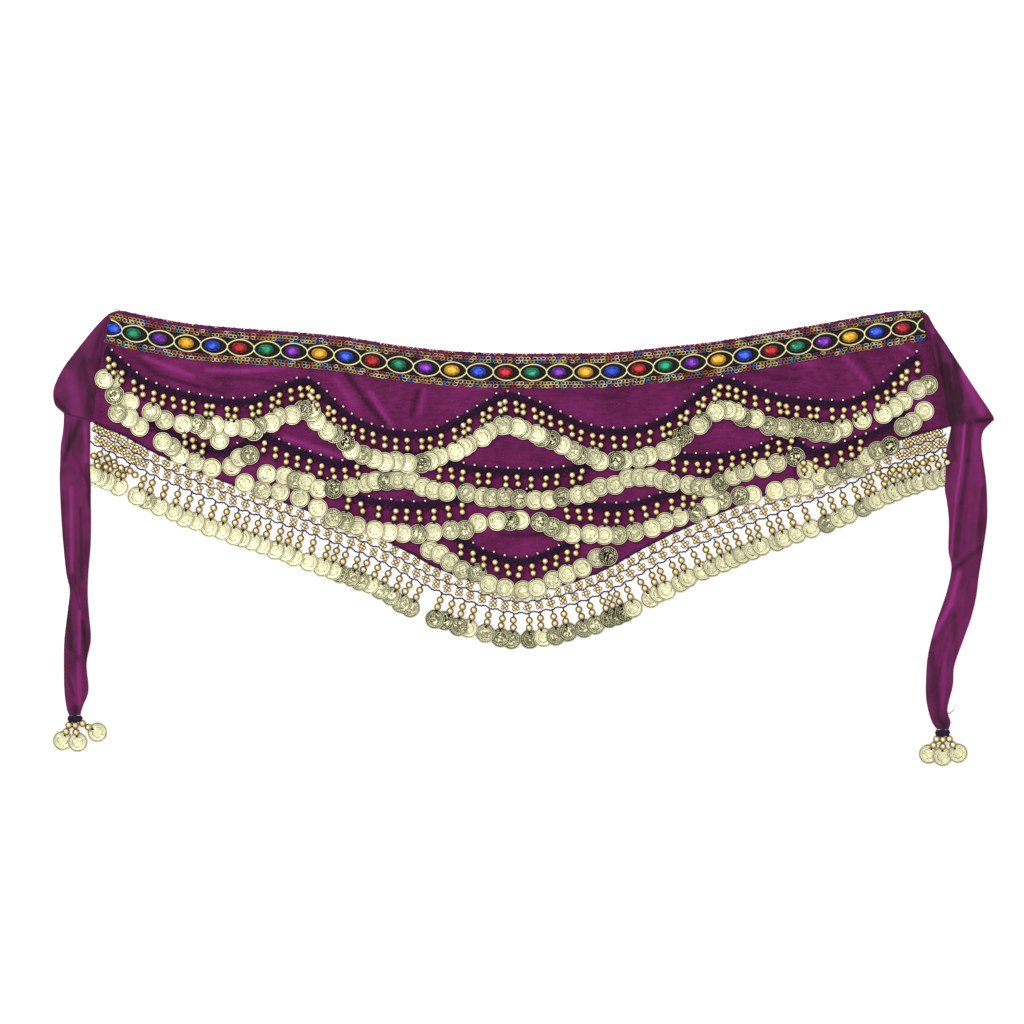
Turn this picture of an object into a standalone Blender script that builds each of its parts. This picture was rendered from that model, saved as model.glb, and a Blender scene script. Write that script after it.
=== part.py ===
"""Belly dance hip scarf laid flat: velvet panel, folded ties, jewelled ribbon, coin rows, net and fringe.

Run with blender --background --python part.py, or from the text editor. Lengths are in millimetres in the tables
and become metres in the mesh. +Z is up off the table, +X runs along the scarf and +Y points at its waist edge.
"""

import math

import bmesh
import bpy
from mathutils import Matrix, Vector

# Driving sizes, in millimetres
MM = 0.001
SEAM_GAP = 0.3
LAY_GAP = 0.35
VELVET = 1.4
PANEL_COLUMNS = 51
PANEL_ROWS = 10
GEM_LENGTH = 12.0
GEM_WIDTH = 8.6
GEM_HEIGHT = 3.4
GEM_COUNT = 31
GEM_SIDES = 8
GEM_GIRDLE = 0.35
GEM_TABLE = 0.62
FIRST_GEM = 9.0
SECOND_GEM = 25.8
LAST_GEM = 21.0
RIBBON_WIDTH = 14.4
RIBBON_THICK = 1.4
BRAID_WIDTH = 6.2
BRAID_THICK = 1.6
BRAID_OFFSET = 10.6
TRIM_START = 3.5
TRIM_END = 2.0
TRIM_BEVEL = 0.4
TRIM_SECTIONS = 27
TOP_HEM_LEFT = 16.5
TOP_HEM_RIGHT = 14.2
CROCHET_WIDTH = 6.0
CROCHET_THICK = 1.6
CHAIN_WIDTH = 2.2
CHAIN_THICK = 1.6
NET_THICK = 1.2
NET_PITCH = 12.2
NET_BAR = 4.4
HEM_OFFSET = 17.6
HEM_POINTS = 30
# Edges of the net's three chains, above the chain that carries the fringe
NET_RAILS = (1.4, 2.8, 8.5, 10.6, 15.2, 16.7)
NET_GAP_ROWS = (1, 3)
FRINGE_PITCH = 11.0
FRINGE_LEAN = 0.85
FRINGE_ROOT = 2.2
ROW_PITCH = 20.5
COIN_ACROSS = 17.0
COIN_THICK = 0.8
COIN_TILT = 0.125
BEAD_ACROSS = 5.0
# A trim is drawn square to its route's direction over this length on both sides
SQUARE_SPAN = 7.0
# A tie's ridge is this share of its width, and its lower edge is this far in
FOLD_SPREAD = 0.16
UNDERCUT = 0.8
TIE_END_EDGES = (-2.2, 2.2)
TIE_END_THICK = 3.6
TIE_END_ROOTS = (0.2, 0.5, 0.8)

# Waist line of the scarf, through the middle of the jewelled ribbon
RIBBON_LINE = (
    # x, y
    (-356, 178), (-331, 172), (-287, 164), (-243, 160), (-199, 157), (-155, 153), (-110, 146), (-63, 141),
    (-17, 139), (29, 139), (77, 140), (125, 145), (168, 150), (215, 158), (256, 165), (300, 173), (343, 179.5),
)
# Lowest chain of the net, from which the fringe hangs
LOWER_CHAIN = (
    # x, y
    (-352, 72), (-339, 65), (-317, 53), (-275, 35), (-224, 17), (-173, -1), (-122, -21), (-79, -44), (-45, -56),
    (-11, -65), (14, -64), (48, -56), (82, -42), (116, -23), (150, -7), (201, 14), (252, 33), (303, 56),
    (329, 66), (350, 72),
)
LEFT_HEM_CORNER = (-367, 97)
RIGHT_HEM_CORNER = (363, 93)

# Crochet bands in waves, top edge of each
COIN_ROWS = {
    "coin_row_1": (
        # x, y
        (-353, 161), (-333, 142), (-316, 131), (-286, 122), (-248, 116), (-226, 119), (-204, 129), (-187, 134),
        (-176, 130), (-156, 111), (-139, 99), (-111, 90), (-80, 90), (-51, 103), (-32, 114), (-16, 122), (5, 117),
        (33, 104), (57, 94), (85, 91), (116, 99), (141, 116), (163, 133), (178, 133), (215, 120), (257, 115),
        (277, 116), (304, 129), (319, 144), (335, 156),
    ),
    "coin_row_2": (
        # x, y
        (-317, 99), (-283, 82), (-254, 74), (-237, 81), (-220, 87), (-193, 75), (-154, 64), (-125, 68), (-96, 71),
        (-71, 67), (-46, 60), (-14, 57), (19, 57), (57, 62), (82, 70), (112, 73), (141, 70), (169, 70), (198, 76),
        (218, 84), (230, 84), (247, 74), (276, 81), (303, 92), (324, 106),
    ),
    "coin_row_3": (
        # x, y
        (-171, 50), (-158, 44), (-132, 33), (-96, 29), (-71, 30), (-45, 35), (-20, 38), (-7, 39), (6, 39), (31, 35),
        (61, 28), (92, 29), (116, 36), (142, 42), (163, 49.5),
    ),
    "coin_row_4": (
        # x, y
        (-63, 7), (-50, -2), (-30, -13), (-1, -19), (27, -10), (44, -2), (56, 6),
    ),
}
COIN_ROW_PARTS = {"coin_row_1": 3, "coin_row_2": 3, "coin_row_3": 2, "coin_row_4": 1}
FRINGE_NODES = ("fringe_left_hip", "fringe_left", "fringe_point", "fringe_right", "fringe_right_hip")
NET_NODES = ("net_left", "net_point", "net_right")

# Soft creases in the velvet, each a low ridge
CREASES = (
    # from x, from y, to x, to y, half width, height
    (-318, 138, -256, 131, 8, 1.2),
    (-140, 121, -132, 114, 9, 1.5),
    (-92, 113, -95, 109, 10, 1.4),
    (52, 111, 112, 114, 9, 1.2),
    (230, 131, 252, 127, 7, 1.0),
    (290, 145, 295, 140, 5, 1.0),
    (-208, 104, -188, 100, 8, 1.0),
    (-18, 3, 30, 5, 8, 1.2),
)

# Fold and hanging stretch of each tie, from the waist down
LEFT_TIE = (
    # left x, left y, right x, right y, left, middle and right height, fold place, fold height, edge groove
    (-356.0, 185.5, -353.8, 188.0, 1.6, 1.8, 1.5, 0.5, 0.0, 0.0),
    (-364.0, 177.0, -355.2, 176.0, 2.6, 2.8, 1.5, 0.5, 0.0, -0.3),
    (-373.0, 166.0, -356.9, 165.0, 3.0, 3.6, 1.5, 0.4, 0.3, -0.6),
    (-381.0, 156.0, -358.4, 155.0, 3.2, 4.2, 1.5, 0.4, 0.5, -0.7),
    (-390.0, 144.0, -360.3, 143.0, 3.4, 4.4, 1.5, 0.4, 0.6, -0.7),
    (-396.0, 133.0, -362.1, 131.0, 3.4, 4.6, 1.5, 0.4, 0.6, -0.7),
    (-399.3, 123.0, -364.0, 119.0, 3.6, 4.8, 1.6, 0.4, 0.5, -0.7),
    (-398.0, 112.0, -366.0, 106.0, 3.8, 5.0, 1.9, 0.4, 0.4, -0.6),
    (-392.0, 105.6, -367.2, 98.8, 4.0, 5.0, 2.2, 0.4, 0.2, 0.0),
    (-390.4, 103.6, -367.8, 97.0, 2.8, 3.2, 2.2, 0.3, 0.2, 0.8),
    (-391.0, 90.0, -367.8, 84.0, 2.8, 3.2, 2.4, 0.2, 1.0, 1.0),
    (-393.0, 77.0, -368.0, 72.0, 2.8, 3.2, 2.4, 0.25, 1.3, 1.0),
    (-393.6, 62.0, -368.0, 60.0, 2.6, 3.2, 2.4, 0.45, 1.4, 1.0),
    (-394.0, 48.0, -367.4, 46.0, 2.6, 3.0, 2.8, 0.75, 1.2, 1.0),
    (-393.4, 30.0, -367.4, 30.0, 2.6, 3.0, 2.6, 0.6, 0.8, 1.0),
    (-392.4, 12.0, -367.2, 12.0, 2.6, 3.0, 2.6, 0.4, 0.7, 1.0),
    (-391.0, -6.0, -367.6, -8.0, 2.6, 3.0, 2.6, 0.3, 0.8, 1.0),
    (-388.4, -31.0, -369.6, -33.0, 2.8, 3.2, 2.8, 0.3, 1.0, 1.0),
    (-385.4, -46.0, -370.0, -50.0, 2.8, 3.4, 2.8, 0.5, 1.4, 1.0),
    (-387.0, -63.0, -369.0, -66.0, 2.8, 3.2, 2.8, 0.7, 1.2, 1.0),
    (-390.0, -88.0, -367.4, -88.0, 2.6, 3.0, 2.6, 0.6, 0.8, 1.0),
    (-390.4, -110.0, -371.0, -108.0, 2.6, 3.0, 2.6, 0.4, 0.8, 1.0),
    (-390.0, -131.0, -369.4, -131.0, 2.6, 3.0, 2.6, 0.5, 0.8, 1.0),
    (-388.0, -146.0, -374.0, -144.0, 2.6, 3.2, 2.6, 0.5, 0.8, 0.8),
    (-385.6, -152.6, -376.4, -152.0, 2.4, 3.2, 2.4, 0.5, 0.5, 0.5),
)
RIGHT_TIE = (
    # left x, left y, right x, right y, left, middle and right height, fold place, fold height, edge groove
    (342.2, 189.6, 344.2, 187.4, 1.5, 1.8, 1.6, 0.5, 0.0, 0.0),
    (344.3, 180.0, 349.0, 178.0, 1.5, 2.6, 2.4, 0.5, 0.0, -0.3),
    (346.5, 170.0, 354.5, 170.0, 1.5, 3.2, 2.8, 0.6, 0.3, -0.5),
    (349.4, 157.0, 363.0, 157.0, 1.5, 3.8, 3.2, 0.6, 0.6, -0.7),
    (352.3, 144.0, 371.5, 144.0, 1.5, 4.2, 3.4, 0.62, 0.8, -0.7),
    (355.4, 130.0, 380.5, 130.0, 1.5, 4.4, 3.4, 0.62, 0.9, -0.7),
    (358.0, 118.0, 388.5, 118.0, 1.6, 4.6, 3.4, 0.62, 0.9, -0.7),
    (360.8, 105.0, 396.6, 106.0, 1.9, 4.8, 3.6, 0.62, 0.8, -0.6),
    (363.1, 95.0, 400.0, 99.4, 2.2, 4.8, 3.8, 0.6, 0.5, 0.0),
    (363.5, 93.2, 397.6, 96.6, 2.2, 3.4, 2.8, 0.5, 0.5, 0.8),
    (362.2, 86.0, 390.6, 88.4, 2.4, 3.2, 2.8, 0.5, 1.2, 1.0),
    (359.4, 73.0, 389.4, 76.0, 2.4, 3.2, 2.8, 0.48, 1.5, 1.0),
    (358.4, 55.0, 391.4, 61.0, 2.4, 3.2, 2.8, 0.46, 1.5, 1.0),
    (358.2, 39.0, 393.4, 46.0, 2.4, 3.0, 2.8, 0.4, 1.5, 1.0),
    (360.0, 28.0, 394.2, 30.0, 2.6, 3.0, 2.8, 0.34, 1.4, 1.0),
    (361.6, 12.0, 394.0, 12.0, 2.6, 3.0, 2.8, 0.26, 1.3, 1.0),
    (361.2, -12.0, 390.4, -14.0, 2.6, 3.0, 2.6, 0.2, 1.2, 1.0),
    (363.8, -27.0, 387.2, -33.0, 2.8, 3.2, 2.8, 0.3, 1.2, 1.0),
    (360.4, -45.0, 384.8, -52.0, 2.8, 3.2, 2.8, 0.6, 1.4, 1.0),
    (355.6, -60.0, 380.4, -70.0, 2.8, 3.2, 2.8, 0.7, 1.0, 1.0),
    (350.0, -76.0, 374.8, -86.0, 2.6, 3.0, 2.6, 0.5, 0.8, 1.0),
    (344.0, -100.0, 366.4, -110.0, 2.6, 3.0, 2.6, 0.4, 0.8, 1.0),
    (342.2, -120.0, 365.0, -127.0, 2.6, 3.0, 2.6, 0.4, 0.8, 1.0),
    (342.4, -139.0, 360.4, -147.0, 2.6, 3.0, 2.6, 0.5, 0.8, 1.0),
    (346.4, -156.0, 363.0, -158.0, 2.6, 3.2, 2.6, 0.5, 0.6, 0.8),
    (351.2, -164.0, 361.2, -164.4, 2.4, 3.2, 2.4, 0.5, 0.4, 0.5),
)
TIE_ENDS = {
    # node: left x, right x, y, directions of the three drops
    "tie_end_left": (-387.0, -374.6, -155.4, ((-0.42, -1.0), (0.12, -1.0), (1.0, -0.62))),
    "tie_end_right": (350.0, 362.4, -167.4, ((-0.5, -1.0), (0.0, -1.0), (0.62, -1.0))),
}

# Strand sections away from the root: bead pair, then coin
ROW_STRAND = (
    # distance, width, low, high, tilts with the coin
    (5.4, BEAD_ACROSS, 1.0, 5.0, 0),
    (16.4, COIN_ACROSS - 0.8, 2.6, 2.6 + COIN_THICK, 0),
    (23.8, COIN_ACROSS - 0.8, 2.6, 2.6 + COIN_THICK, 0),
    (28.6, 6.8, 2.6, 2.6 + COIN_THICK, 0),
)
FRINGE_STRAND = (
    # distance, width, low, high, tilts with the coin
    (7.6, BEAD_ACROSS, 0.3, 4.9, 0),
    (13.8, 6.0, 1.4, 1.4 + COIN_THICK, 1),
    (18.8, COIN_ACROSS - 0.6, 1.4, 1.4 + COIN_THICK, 1),
    (26.0, COIN_ACROSS - 0.6, 1.4, 1.4 + COIN_THICK, 1),
    (30.8, 6.6, 1.4, 1.4 + COIN_THICK, 1),
)
TIE_DROP = (
    # distance, width, low, high, tilts with the coin
    (5.0, BEAD_ACROSS, 0.3, 4.9, 0),
    (9.4, 6.0, 1.4, 1.4 + COIN_THICK, 1),
    (13.4, COIN_ACROSS - 0.6, 1.4, 1.4 + COIN_THICK, 1),
    (19.8, COIN_ACROSS - 0.6, 1.4, 1.4 + COIN_THICK, 1),
    (24.0, 6.6, 1.4, 1.4 + COIN_THICK, 1),
)
# A strand is left out where its coin or beads come this near to the middle of a coin laid before it
COIN_TO_COIN = 17.6
COIN_TO_BEADS = 12.1
COIN_CENTRE = 20.1
BEADS_CENTRE = 5.4
ROW_START_MARGIN = 9.0
PART_END_ROOM = 1.5

COLOURS = {
    # sub-part: red, green, blue, roughness, metallic
    "velvet": (0.147, 0.010, 0.112, 0.85, 0.0),
    "tie_cloth": (0.174, 0.014, 0.127, 0.75, 0.0),
    "ribbon": (0.010, 0.010, 0.012, 0.6, 0.0),
    "braid": (0.42, 0.27, 0.08, 0.45, 0.6),
    "net_beads": (0.62, 0.46, 0.20, 0.3, 0.8),
    "coins": (0.66, 0.58, 0.30, 0.25, 1.0),
    "gem_blue": (0.023, 0.08, 0.75, 0.1, 0.0),
    "gem_green": (0.009, 0.31, 0.19, 0.1, 0.0),
    "gem_purple": (0.22, 0.03, 0.5, 0.1, 0.0),
    "gem_amber": (0.8, 0.35, 0.014, 0.1, 0.0),
    "gem_red": (0.53, 0.01, 0.02, 0.1, 0.0),
}
GEM_ORDER = ("gem_blue", "gem_green", "gem_purple", "gem_amber", "gem_blue")
GEM_CYCLE = ("gem_red", "gem_green", "gem_purple", "gem_amber", "gem_blue")


class Route:
    """A smooth line on the table through a few points, read by its length."""

    def __init__(self, points, steps=12):
        points = [Vector(p) for p in points]
        ends = [2 * points[0] - points[1]] + points + [2 * points[-1] - points[-2]]
        self.dense = [points[0]]
        for before, start, end, after in zip(ends, ends[1:], ends[2:], ends[3:]):
            for step in range(1, steps + 1):
                t = step / steps
                self.dense.append(0.5 * (
                    2 * start + (end - before) * t
                    + (2 * before - 5 * start + 4 * end - after) * t ** 2
                    + (3 * start - before - 3 * end + after) * t ** 3
                ))
        self.reached = [0.0]
        for start, end in zip(self.dense, self.dense[1:]):
            self.reached.append(self.reached[-1] + (end - start).length)
        self.length = self.reached[-1]

    def piece(self, s):
        low, high = 0, len(self.reached) - 1
        while high - low > 1:
            middle = (low + high) // 2
            if self.reached[middle] > s:
                high = middle
            else:
                low = middle
        return low

    def along(self, s):
        i = self.piece(s)
        return (self.dense[i + 1] - self.dense[i]).normalized()

    def up(self, s):
        before = self.along(max(s - SQUARE_SPAN, 0.0))
        after = self.along(min(s + SQUARE_SPAN, self.length))
        tangent = (before + after).normalized()
        return Vector((-tangent.y, tangent.x))

    def at(self, s, offset=0.0):
        i = self.piece(s)
        share = (s - self.reached[i]) / (self.reached[i + 1] - self.reached[i])
        return self.dense[i].lerp(self.dense[i + 1], share) + offset * self.up(s)


def velvet_top(x, y):
    """Height of the velvet's upper face: its wall and the creases there."""
    rise = 0.0
    here = Vector((x, y))
    for x0, y0, x1, y1, half_width, height in CREASES:
        start, run = Vector((x0, y0)), Vector((x1 - x0, y1 - y0))
        share = min(max((here - start).dot(run) / run.length_squared, 0.0), 1.0)
        away = (here - start - share * run).length / half_width
        if away < 1.0:
            rise = max(rise, height * math.cos(away * math.pi / 2) ** 2)
    return VELVET + rise


def material(kind):
    found = bpy.data.materials.get(kind)
    if found:
        return found
    red, green, blue, roughness, metallic = COLOURS[kind]
    made = bpy.data.materials.new(kind)
    made.use_nodes = True
    shader = made.node_tree.nodes["Principled BSDF"]
    shader.inputs["Base Color"].default_value = (red, green, blue, 1)
    shader.inputs["Roughness"].default_value = roughness
    shader.inputs["Metallic"].default_value = metallic
    made.diffuse_color = (red, green, blue, 1)
    return made


def add_object(name, bm, kind):
    bmesh.ops.recalc_face_normals(bm, faces=bm.faces)
    for vert in bm.verts:
        vert.co *= MM
    mesh = bpy.data.meshes.new(name)
    bm.to_mesh(mesh)
    bm.free()
    mesh.materials.append(material(kind))
    made = bpy.data.objects.new(name, mesh)
    bpy.context.scene.collection.objects.link(made)
    return made


def bridge(bm, first, second):
    """Side faces between two rings of as many points."""
    for i in range(len(first)):
        j = (i + 1) % len(first)
        bm.faces.new((first[i], first[j], second[j], second[i]))


def loft(bm, rings):
    rings = [[bm.verts.new(point) for point in ring] for ring in rings]
    for first, second in zip(rings, rings[1:]):
        bridge(bm, first, second)
    bm.faces.new(rings[0])
    bm.faces.new(rings[-1])


def spread(start, end, count):
    return [start + (end - start) * i / (count - 1) for i in range(count)]


def panel(ribbon_line, hem_line):
    """The velvet: a creased upper face, an edge all round and one flat underside."""
    bm = bmesh.new()
    grid = bmesh.ops.create_grid(bm, x_segments=PANEL_COLUMNS, y_segments=PANEL_ROWS, size=1.0)["verts"]
    for vert in grid:
        u = (vert.co.x + 1) / 2
        v = (vert.co.y + 1) / 2
        top_hem = TOP_HEM_LEFT + (TOP_HEM_RIGHT - TOP_HEM_LEFT) * u
        waist = ribbon_line.at(u * ribbon_line.length, top_hem)
        hem = hem_line.at(u * hem_line.length)
        x, y = hem.lerp(waist, v)
        vert.co = (x, y, velvet_top(x, y))
    rim = [edge for edge in bm.edges if edge.is_boundary]
    skirt = bmesh.ops.extrude_edge_only(bm, edges=rim)["geom"]
    for vert in skirt:
        if isinstance(vert, bmesh.types.BMVert):
            vert.co.z = 0.0
    base = [edge for edge in skirt if isinstance(edge, bmesh.types.BMEdge) and edge.is_boundary]
    bmesh.ops.contextual_create(bm, geom=base)
    return add_object("panel", bm, "velvet")


def tie_section(row, outer):
    """Outline across a folded tie: flat underside, layered sides, rounded at the outer fold, ridged upper face."""
    left_x, left_y, right_x, right_y, left, middle, right, fold_at, fold_height, groove = row
    start, end = Vector((left_x, left_y)), Vector((right_x, right_y))
    width = (end - start).length

    def height(f):
        lift = left * (1 - f) * (1 - 2 * f) + 4 * middle * f * (1 - f) + right * f * (2 * f - 1)
        return lift + fold_height * math.exp(-((f - fold_at) / FOLD_SPREAD) ** 2)

    def point(f, z):
        return (*start.lerp(end, f), z)

    left_in = groove / width if groove > 0 or outer == "left" else 0.0
    right_in = groove / width if groove > 0 or outer == "right" else 0.0
    under = min(UNDERCUT / width, 0.2)
    return (
        [point(under, 0.0), point(1 - under, 0.0)]
        + [point(1, 0.3 * right), point(1 - right_in, 0.52 * right), point(1, 0.74 * right)]
        + [point(f, height(f)) for f in (0.88, 0.7, 0.5, 0.3, 0.12)]
        + [point(0, 0.74 * left), point(left_in, 0.52 * left), point(0, 0.3 * left)]
    )


def tie(name, rows, outer):
    bm = bmesh.new()
    loft(bm, [tie_section(row, outer) for row in rows])
    return add_object(name, bm, "tie_cloth")


def strip(name, route, offset, width, thick, base, kind):
    """A flat trim laid along a route, its upper face a little narrower than its base."""
    bm = bmesh.new()
    rings = []
    for s in spread(TRIM_START, route.length - TRIM_END, TRIM_SECTIONS):
        low, high = offset - width / 2, offset + width / 2
        across = ((low, 0.0), (low + TRIM_BEVEL, thick), (high - TRIM_BEVEL, thick), (high, 0.0))
        rings.append([(*route.at(s, away), base + up) for away, up in across])
    loft(bm, rings)
    return add_object(name, bm, kind)


def gem(name, kind, centre, along, base):
    """A faceted oval stone, drawn up from its flat back."""
    bm = bmesh.new()
    bmesh.ops.create_circle(bm, cap_ends=True, segments=GEM_SIDES, radius=0.5)
    bmesh.ops.scale(bm, vec=(GEM_LENGTH, GEM_WIDTH, 1.0), verts=bm.verts)
    raised = bmesh.ops.extrude_face_region(bm, geom=bm.faces[:])["geom"]
    girdle = [item for item in raised if isinstance(item, bmesh.types.BMVert)]
    bmesh.ops.translate(bm, vec=(0, 0, GEM_GIRDLE * GEM_HEIGHT), verts=girdle)
    crown = [item for item in raised if isinstance(item, bmesh.types.BMFace)]
    table = bmesh.ops.extrude_discrete_faces(bm, faces=crown)["faces"][0].verts
    bmesh.ops.scale(bm, vec=(GEM_TABLE, GEM_TABLE, 1.0), verts=table)
    bmesh.ops.translate(bm, vec=(0, 0, (1 - GEM_GIRDLE) * GEM_HEIGHT), verts=table)
    turn = Matrix.Rotation(math.atan2(along.y, along.x), 3, "Z")
    bmesh.ops.rotate(bm, cent=(0, 0, 0), matrix=turn, verts=bm.verts)
    bmesh.ops.translate(bm, vec=(*centre, base), verts=bm.verts)
    return add_object(name, bm, kind)


def strand(bm, root, root_middle, hang, sections, ground):
    """Carries a root face of a backing down through the beads to the coin's lower edge."""
    side = Vector((-hang.y, hang.x))
    ring = root
    for distance, width, low, high, tilts in sections:
        centre = root_middle + hang * distance
        corners = []
        for across, up in ((-0.5, low), (0.5, low), (0.5, high), (-0.5, high)):
            place = centre + side * across * width
            lean = COIN_TILT * across * width * tilts
            corners.append(bm.verts.new((*place, ground(*centre) + up + lean)))
        bridge(bm, ring, corners)
        ring = corners
    bm.faces.new(ring)


def backing_with_strands(name, route, start, end, roots, edges, thick, ground, hang_at, sections, kind):
    """A crochet band from start to end along a route, with a strand fused to its lower side at each root."""
    lower_edge, upper_edge = edges
    bm = bmesh.new()
    stations = [start]
    for s in roots:
        stations += [s - FRINGE_ROOT / 2, s + FRINGE_ROOT / 2]
    stations.append(end)
    rings = []
    for s in stations:
        lower, upper = route.at(s, lower_edge), route.at(s, upper_edge)
        ring = []
        for place, up in ((lower, 0.0), (lower, thick), (upper, thick), (upper, 0.0)):
            ring.append(bm.verts.new((*place, ground(*place) + up)))
        rings.append(ring)
    for i, (first, second) in enumerate(zip(rings, rings[1:])):
        for a, b in ((1, 2), (2, 3), (3, 0)):
            bm.faces.new((first[a], first[b], second[b], second[a]))
        if i % 2 == 0:
            bm.faces.new((first[0], first[1], second[1], second[0]))
    bm.faces.new(rings[0])
    bm.faces.new(rings[-1])
    for number, s in enumerate(roots):
        first, second = rings[1 + 2 * number], rings[2 + 2 * number]
        hang = hang_at(number, s)
        strand(bm, [first[0], second[0], second[1], first[1]], route.at(s, lower_edge), hang, sections, ground)
    return add_object(name, bm, kind)


def coin_rows():
    """Each wave in lengths. A strand that would touch a coin laid before it is left out."""
    coins_laid = []
    down = Vector((0.0, -1.0))

    def ground(x, y):
        return velvet_top(x, y) + LAY_GAP

    for name, points in COIN_ROWS.items():
        route = Route(points)
        parts = COIN_ROW_PARTS[name]
        count = int((route.length - 2 * ROW_START_MARGIN) // ROW_PITCH) + 1
        margin = (route.length - (count - 1) * ROW_PITCH) / 2
        roots = []
        for number in range(count):
            s = margin + number * ROW_PITCH
            root = route.at(s, -CROCHET_WIDTH)
            own_coins = [route.at(other, -CROCHET_WIDTH) + down * COIN_CENTRE for other in roots]
            clear = all(
                (root + down * reach - coin).length > room
                for coin in coins_laid + own_coins
                for reach, room in ((COIN_CENTRE, COIN_TO_COIN), (BEADS_CENTRE, COIN_TO_BEADS))
            )
            if clear:
                roots.append(s)
        coins_laid += [route.at(s, -CROCHET_WIDTH) + down * COIN_CENTRE for s in roots]
        for part in range(parts):
            start = route.length * part / parts + SEAM_GAP
            end = route.length * (part + 1) / parts - SEAM_GAP
            own = [s for s in roots if start + PART_END_ROOM < s < end - PART_END_ROOM]
            node = name if parts == 1 else f"{name}{'abc'[part]}"
            backing_with_strands(
                node, route, start, end, own, (-CROCHET_WIDTH, 0.0), CROCHET_THICK, ground,
                lambda number, s: down, ROW_STRAND, "coins",
            )


def fringe(chain):
    """The lower chain in five lengths, its strands leaning with the hem and lapped like shingles."""
    count = int(chain.length // FRINGE_PITCH)
    margin = (chain.length - (count - 1) * FRINGE_PITCH) / 2
    per_node = count / len(FRINGE_NODES)

    def hang_at(number, s):
        return Vector((0.0, -1.0)).lerp(-chain.up(s), FRINGE_LEAN).normalized()

    for i, name in enumerate(FRINGE_NODES):
        first, last = round(i * per_node), round((i + 1) * per_node)
        roots = [margin + number * FRINGE_PITCH for number in range(first, last)]
        start = roots[0] - FRINGE_PITCH / 2 + SEAM_GAP / 2
        end = roots[-1] + FRINGE_PITCH / 2 - SEAM_GAP / 2
        backing_with_strands(
            name, chain, start, end, roots, (-CHAIN_WIDTH / 2, CHAIN_WIDTH / 2), CHAIN_THICK,
            lambda x, y: 0.0, hang_at,
            FRINGE_STRAND, "coins",
        )


def net(chain):
    """Two rows of bead clusters between three chains, with the gaps cut through."""
    for i, name in enumerate(NET_NODES):
        start = chain.length * i / len(NET_NODES) + SEAM_GAP
        end = chain.length * (i + 1) / len(NET_NODES) - SEAM_GAP
        cells = round((end - start - NET_BAR) / NET_PITCH)
        pitch = (end - start - NET_BAR) / cells
        stations = []
        for number in range(cells + 1):
            stations += [start + number * pitch, start + number * pitch + NET_BAR]
        bm = bmesh.new()
        points = [[bm.verts.new((*chain.at(s, away), NET_THICK)) for away in NET_RAILS] for s in stations]
        for column in range(len(stations) - 1):
            for row in range(len(NET_RAILS) - 1):
                if column % 2 and row in NET_GAP_ROWS:
                    continue
                here, there = points[column], points[column + 1]
                bm.faces.new((here[row], there[row], there[row + 1], here[row + 1]))
        solid = bmesh.ops.extrude_face_region(bm, geom=bm.faces[:])["geom"]
        for vert in solid:
            if isinstance(vert, bmesh.types.BMVert):
                vert.co.z = 0.0
        add_object(name, bm, "net_beads")


def tie_ends():
    """The crochet gathers that close the ties, with three bead and coin drops each."""
    for name, (left, right, y, directions) in TIE_ENDS.items():
        route = Route(((left, y), ((left + right) / 2, y), (right, y)))
        roots = [route.length * share for share in TIE_END_ROOTS]
        hangs = [Vector(direction).normalized() for direction in directions]
        backing_with_strands(
            name, route, 0.0, route.length, roots, TIE_END_EDGES, TIE_END_THICK, lambda x, y: 0.0,
            lambda number, s: hangs[number], TIE_DROP, "coins",
        )


def jewelled_ribbon(ribbon_line):
    base = VELVET + LAY_GAP
    strip("ribbon_band", ribbon_line, 0.0, RIBBON_WIDTH, RIBBON_THICK, base, "ribbon")
    strip("braid_upper", ribbon_line, BRAID_OFFSET, BRAID_WIDTH, BRAID_THICK, base, "braid")
    strip("braid_lower", ribbon_line, -BRAID_OFFSET, BRAID_WIDTH, BRAID_THICK, base, "braid")
    even_gems = spread(SECOND_GEM, ribbon_line.length - LAST_GEM, GEM_COUNT - 1)
    for number, s in enumerate([FIRST_GEM] + even_gems):
        kind = GEM_ORDER[number] if number < len(GEM_ORDER) else GEM_CYCLE[(number - len(GEM_ORDER)) % 5]
        place = ribbon_line.at(s)
        gem(f"gem_{number + 1:02d}", kind, place, ribbon_line.along(s), base + RIBBON_THICK + SEAM_GAP)


def main():
    for thing in list(bpy.data.objects):
        bpy.data.objects.remove(thing, do_unlink=True)
    ribbon_line = Route(RIBBON_LINE)
    chain = Route(LOWER_CHAIN)
    inner = [chain.at(s, HEM_OFFSET) for s in spread(6.0, chain.length - 4.0, HEM_POINTS)]
    hem_line = Route([LEFT_HEM_CORNER] + inner + [RIGHT_HEM_CORNER], steps=6)
    panel(ribbon_line, hem_line)
    tie("tie_left", LEFT_TIE, "left")
    tie("tie_right", RIGHT_TIE, "right")
    jewelled_ribbon(ribbon_line)
    coin_rows()
    net(chain)
    fringe(chain)
    tie_ends()


main()
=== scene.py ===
import math
import random

import bmesh
import bpy
from mathutils import Matrix, Vector, kdtree


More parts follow.
